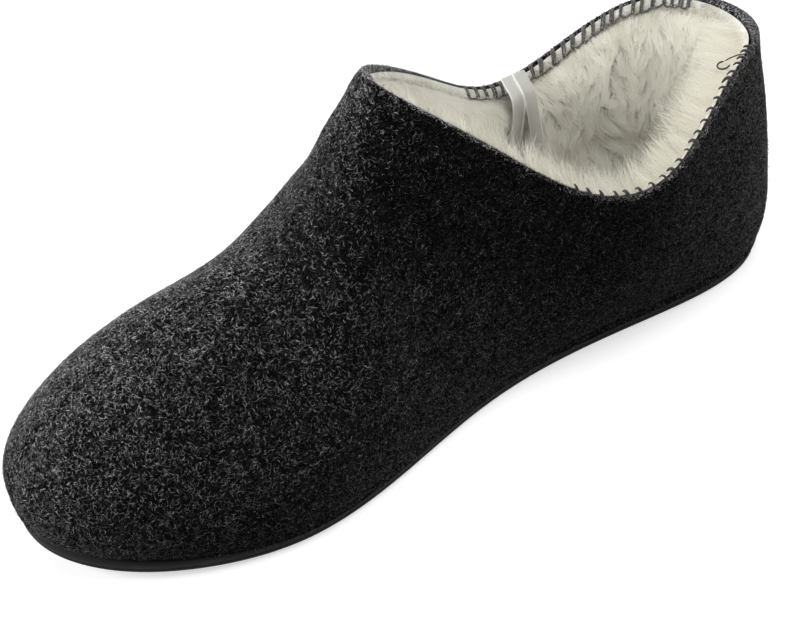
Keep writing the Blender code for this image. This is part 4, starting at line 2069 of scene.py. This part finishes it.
@dataclass
class CollarStitching:
    """Overlock thread that wraps the collar's edge, with a loose end at the heel."""

    last: Last
    felt: FeltUpper
    sides: int = 6
    spikes: Seam = field(default_factory=lambda: Seam(
        side=Side.INNER,
        rows=(
            StitchRow(station=0.15, pitch=3.0, share=0.52),
            StitchRow(station=0.22, pitch=3.2, share=0.68),
            StitchRow(station=0.37, pitch=3.8, share=0.64),
            StitchRow(station=0.42, pitch=5.0, share=0.48),
        ),
        strands=1, radius=0.8, tip=0.25, slant=1.8, spread=0.0, scallop=0.0, lift=1.0,
    ))
    ladder: Seam = field(default_factory=lambda: Seam(
        side=Side.OUTER,
        rows=(
            StitchRow(station=0.13, pitch=2.4, share=0.75),
            StitchRow(station=0.20, pitch=3.4, share=0.95),
            StitchRow(station=0.30, pitch=4.2, share=1.00),
            StitchRow(station=0.38, pitch=4.4, share=1.00),
            StitchRow(station=0.425, pitch=5.0, share=0.80),
        ),
        strands=2, radius=0.38, tip=0.9, slant=1.3, spread=0.85, scallop=0.55, lift=0.0,
    ))
    knots: tuple[KnotRow, ...] = (
        KnotRow(share=0.0, inward=0.9, below=1.0),
        KnotRow(share=0.5, inward=0.2, below=0.0),
        KnotRow(share=1.0, inward=0.9, below=-0.05),
        KnotRow(share=1.0, inward=1.95, below=0.7),
        KnotRow(share=1.0, inward=2.65, below=1.8),
        KnotRow(share=1.0, inward=2.9, below=3.0),
    )
    # Edge that the stitches stand on
    rail_end: float = 0.985
    rail_steps: int = 500
    rail_drop: float = 1.5
    # Stitches, and how far each may differ
    stitch_steps: int = 13
    pitch_chance: tuple[float, float] = (0.8, 1.2)
    share_chance: tuple[float, float] = (0.85, 1.15)
    slant_chance: tuple[float, float] = (0.4, 1.2)
    slant_middle: float = 0.4
    spread_chance: tuple[float, float] = (0.5, 1.4)
    radius_chance: tuple[float, float] = (0.75, 1.2)
    chain_steps: int = 3
    chain_share: float = 0.85
    # Loose end, and the tail that it hangs by
    end_station: float = 0.2
    end_radius: float = 0.28
    end_size: float = 1.8
    end_angles: tuple[float, float] = (0.4, 4.9)
    end_steps: int = 22
    end_inset: float = 5.4
    end_lift: float = 0.8
    end_climb: float = 0.12
    tail_station: float = 0.165
    tail_steps: int = 9
    tail_inset: float = 0.8
    tail_lift: float = 0.6
    tail_bow: float = 0.7
    tail_share: float = 0.7
    seed: int = 53

    def rail(self, side: Side) -> tuple[Array, Array, Array, Array]:
        """Return the collar's edge of one side.

        Args:
            side: The side of the foot.

        Returns:
            The stations, the top points of the edge, the ways out of the felt, and the ways down the wall.
        """
        station = np.linspace(0, self.last.throat_station * self.rail_end, self.rail_steps)
        top = 1 - np.array((0.0, self.rail_drop))[None] / self.last.height(side, station)[:, None]
        wall = self.last.wall(side, station, top)
        down = unit(wall[:, 1] - wall[:, 0])
        along = unit(np.gradient(wall[:, 0], axis=0))
        out = unit(np.cross(along, down) * side.value)
        return station, wall[:, 0], out, down

    def stitch_places(self, seam: Seam, station: Array, run: Array, rng: Chance) -> Array:
        """Return where a seam's stitches stand along the run of the edge.

        Args:
            seam: The seam.
            station: The stations of the edge.
            run: How far along the edge each of them lies.
            rng: The source of chance.

        Returns:
            The place of each stitch.
        """
        columns = [row.station for row in seam.rows]
        places = []
        place, end = np.interp((columns[0], columns[-1]), station, run)
        while place < end:
            places.append(place)
            here = np.interp(place, run, station)
            pitch = np.interp(here, columns, [row.pitch for row in seam.rows])
            place += pitch * rng.uniform(*self.pitch_chance)
        return np.array(places)

    def sew(self, seam: Seam, tubes: Tubes, rng: Chance) -> None:
        """Lay the stitches of a seam.

        Args:
            seam: The seam.
            tubes: The threads to add to.
            rng: The source of chance.
        """
        station, top, out, down = self.rail(seam.side)
        run = np.concatenate([[0], np.cumsum(np.linalg.norm(np.diff(top, axis=0), axis=1))])
        places = self.stitch_places(seam, station, run, rng)
        here = np.interp(places, run, station)
        shares = np.interp(here, [row.station for row in seam.rows], [row.share for row in seam.rows])
        shares = np.minimum(shares * rng.uniform(*self.share_chance, len(places)), 1.0)
        along = np.linspace(0, 1, len(self.knots))
        feet = []
        for place, edge, share in zip(places, self.felt.rim_at(here), shares):
            lean = seam.slant * rng.uniform(*self.slant_chance)
            inward = np.array([row.share * edge + row.inward for row in self.knots])
            below = np.array([row.below - seam.lift * row.share for row in self.knots])
            for number in range(seam.strands):
                aside = seam.spread * (number - (seam.strands - 1) / 2) * rng.uniform(*self.spread_chance)
                spots = np.clip(place + aside + lean * (along - self.slant_middle), 0, run[-1])
                at, way_out, way_down = (
                    np.stack([np.interp(spots, run, column) for column in grid.T], -1)
                    for grid in (top, out, down)
                )
                knots = at - way_out * inward[:, None] + way_down * below[:, None]
                line = curve_through(knots, np.linspace(0, share, self.stitch_steps))
                tubes.add(line, seam.radius * rng.uniform(*self.radius_chance), seam.tip)
            feet.append(line[-1])
        if seam.scallop:
            self.chain(np.array(feet), seam, tubes)

    def chain(self, feet: Array, seam: Seam, tubes: Tubes) -> None:
        """Lay the thread that links the feet of the stitches and sags between them.

        Args:
            feet: The feet.
            seam: The seam.
            tubes: The threads to add to.
        """
        middles = (feet[:-1] + feet[1:]) / 2 - UP * seam.scallop
        knots = np.empty((2 * len(feet) - 1, 3))
        knots[::2] = feet
        knots[1::2] = middles
        line = curve_through(knots, np.linspace(0, 1, len(knots) * self.chain_steps))
        tubes.add(line, seam.radius * self.chain_share)

    def loose_end(self, tubes: Tubes) -> None:
        """Lay the curled end of thread at the heel's inner side.

        Args:
            tubes: The threads to add to.
        """
        station, top, out, _ = self.rail(Side.INNER)
        here = int(np.searchsorted(station, self.end_station))
        angle = np.linspace(*self.end_angles, self.end_steps)[:, None]
        along = unit(top[here + 1] - top[here])
        centre = top[here] - out[here] * self.end_inset + UP * self.end_lift
        ring = -along * np.cos(angle) - out[here] * np.sin(angle)
        curl = centre + ring * self.end_size + UP * self.end_climb * angle
        tubes.add(curl, self.end_radius)
        root = int(np.searchsorted(station, self.tail_station))
        foot = top[root] - out[root] * self.tail_inset + UP * self.tail_lift
        share = np.linspace(0, 1, self.tail_steps)[:, None]
        tail = mix(curl[0], foot, share) + UP * np.sin(np.pi * share) * self.tail_bow
        tubes.add(tail, self.end_radius * self.tail_share)

    def dress(self) -> None:
        """Build the stitching and give it its finish."""
        rng = np.random.default_rng(self.seed)
        inner, outer = Tubes(self.sides), Tubes(self.sides)
        self.sew(self.spikes, inner, rng)
        self.loose_end(inner)
        finish = ThreadFinish("dark_thread", ((0.25, grey(0.004)), (0.80, grey(0.030))))
        attach(inner.piece("collar_stitching_inner", self.last), None, finish.material())
        self.sew(self.ladder, outer, rng)
        finish = ThreadFinish("grey_thread", ((0.25, grey(0.02)), (0.80, grey(0.14))))
        attach(outer.piece("collar_stitching_outer", self.last), None, finish.material())


class LightRow(NamedTuple):
    """A soft light: where it hangs and what it points at in metres, its size and its power."""

    name: str
    place: tuple[float, float, float]
    target: tuple[float, float, float]
    size: float
    power: float


@dataclass
class Studio:
    """Floor, soft light and the camera at the photo's view."""

    last: Last
    floor_size: float = 6.0
    # Camera: angles in degrees, focal length and width in pixels, near limit in metres
    azimuth: float = 66.83
    elevation: float = 42.92
    roll: float = -8.06
    distance: float = 527.6
    target: tuple[float, float, float] = (3.84, -127.89, 22.86)
    focal: float = 1768.3
    image_width: float = 800.0
    sensor: float = 36.0
    clip: float = 0.01
    # Light
    sky: float = 0.06
    returned: float = 0.18
    horizon: float = 0.3
    lights: tuple[LightRow, ...] = (
        LightRow("overhead", place=(0.15, 0.20, 1.0), target=(0.0, 0.0, 0.03), size=0.6, power=7.0),
        LightRow("key", place=(-0.25, -1.05, 0.75), target=(0.0, -0.05, 0.04), size=0.6, power=14.0),
        LightRow("heel", place=(0.20, 1.1, 0.4), target=(0.0, 0.1, 0.05), size=0.5, power=4.6),
        LightRow("side", place=(-1.1, 0.0, 0.40), target=(0.0, -0.05, 0.05), size=0.5, power=9.5),
    )

    def add_floor(self) -> None:
        """Lay the floor."""
        half = self.floor_size / 2
        corners = [(-half, -half, 0.0), (half, -half, 0.0), (half, half, 0.0), (-half, half, 0.0)]
        mesh = bpy.data.meshes.new("floor")
        mesh.from_pydata(corners, [], [(0, 1, 2, 3)])
        floor = link("floor", mesh)
        mesh.materials.append(FloorFinish().material())
        floor.visible_diffuse = False
        floor.visible_shadow = False

    def add_lights(self) -> None:
        """Hang the lights and set the soft light from all round."""
        for row in self.lights:
            lamp = bpy.data.lights.new(row.name, "AREA")
            lamp.shape = "DISK"
            lamp.size = row.size
            lamp.energy = row.power
            light = bpy.data.objects.new(row.name, lamp)
            light.location = row.place
            aim = Vector(row.target) - Vector(row.place)
            light.rotation_euler = aim.to_track_quat("-Z", "Y").to_euler()
            bpy.context.scene.collection.objects.link(light)
        self.add_sky()

    def add_sky(self) -> None:
        """Set the soft light from all round, dimmer from above than what a pale floor returns from below."""
        world = bpy.data.worlds.new("studio")
        world.use_nodes = True
        nodes = Nodes(world.node_tree)
        way = nodes.add("ShaderNodeTexCoord").outputs["Generated"]
        height = nodes.add("ShaderNodeSeparateXYZ", None, {0: way}).outputs["Z"]
        inputs = {"Value": height, "From Min": -self.horizon, "From Max": self.horizon}
        share = nodes.add("ShaderNodeMapRange", None, inputs).outputs["Result"]
        light = nodes.ramp(share, ((0.0, grey(self.returned)), (1.0, grey(self.sky))))
        nodes.feed(world.node_tree.nodes["Background"].inputs["Color"], light)
        bpy.context.scene.world = world

    def add_camera(self) -> None:
        """Set the camera where the photo was taken."""
        angles = self.azimuth, self.elevation, self.roll
        azimuth, elevation, roll = (math.radians(angle) for angle in angles)
        flat = math.cos(elevation)
        back = Vector((math.sin(azimuth) * flat, -math.cos(azimuth) * flat, math.sin(elevation)))
        right = (-back).cross(Vector(UP)).normalized()
        up = right.cross(-back)
        rolled_right = right * math.cos(roll) + up * math.sin(roll)
        rolled_up = up * math.cos(roll) - right * math.sin(roll)
        target = Vector(self.last.place(np.array(self.target)))
        place = target + back * self.distance * MM
        lens = bpy.data.cameras.new("camera")
        lens.sensor_width = self.sensor
        lens.lens = self.focal / self.image_width * self.sensor
        lens.clip_start = self.clip
        camera = bpy.data.objects.new("camera", lens)
        columns = Matrix((rolled_right, rolled_up, back)).transposed().to_4x4()
        camera.matrix_world = Matrix.Translation(place) @ columns
        bpy.context.scene.collection.objects.link(camera)
        bpy.context.scene.camera = camera

    def build(self) -> None:
        """Build the studio."""
        self.add_floor()
        self.add_lights()
        self.add_camera()
        bpy.context.scene.view_settings.view_transform = "Standard"


def main() -> None:
    """Build the slipper's pieces in order and set the studio round them."""
    logging.basicConfig(level=logging.INFO, format="%(name)s: %(message)s")
    last = Last()
    felt = FeltUpper(last)
    felt.dress()
    FeltFibres(last, felt).dress()
    PlushLining(last, felt).dress()
    PlushInsole(last).dress()
    CollarStitching(last, felt).dress()
    RibbonLoop(last).dress()
    Outsole(last).dress()
    Studio(last).build()


if __name__ == "__main__":
    main()
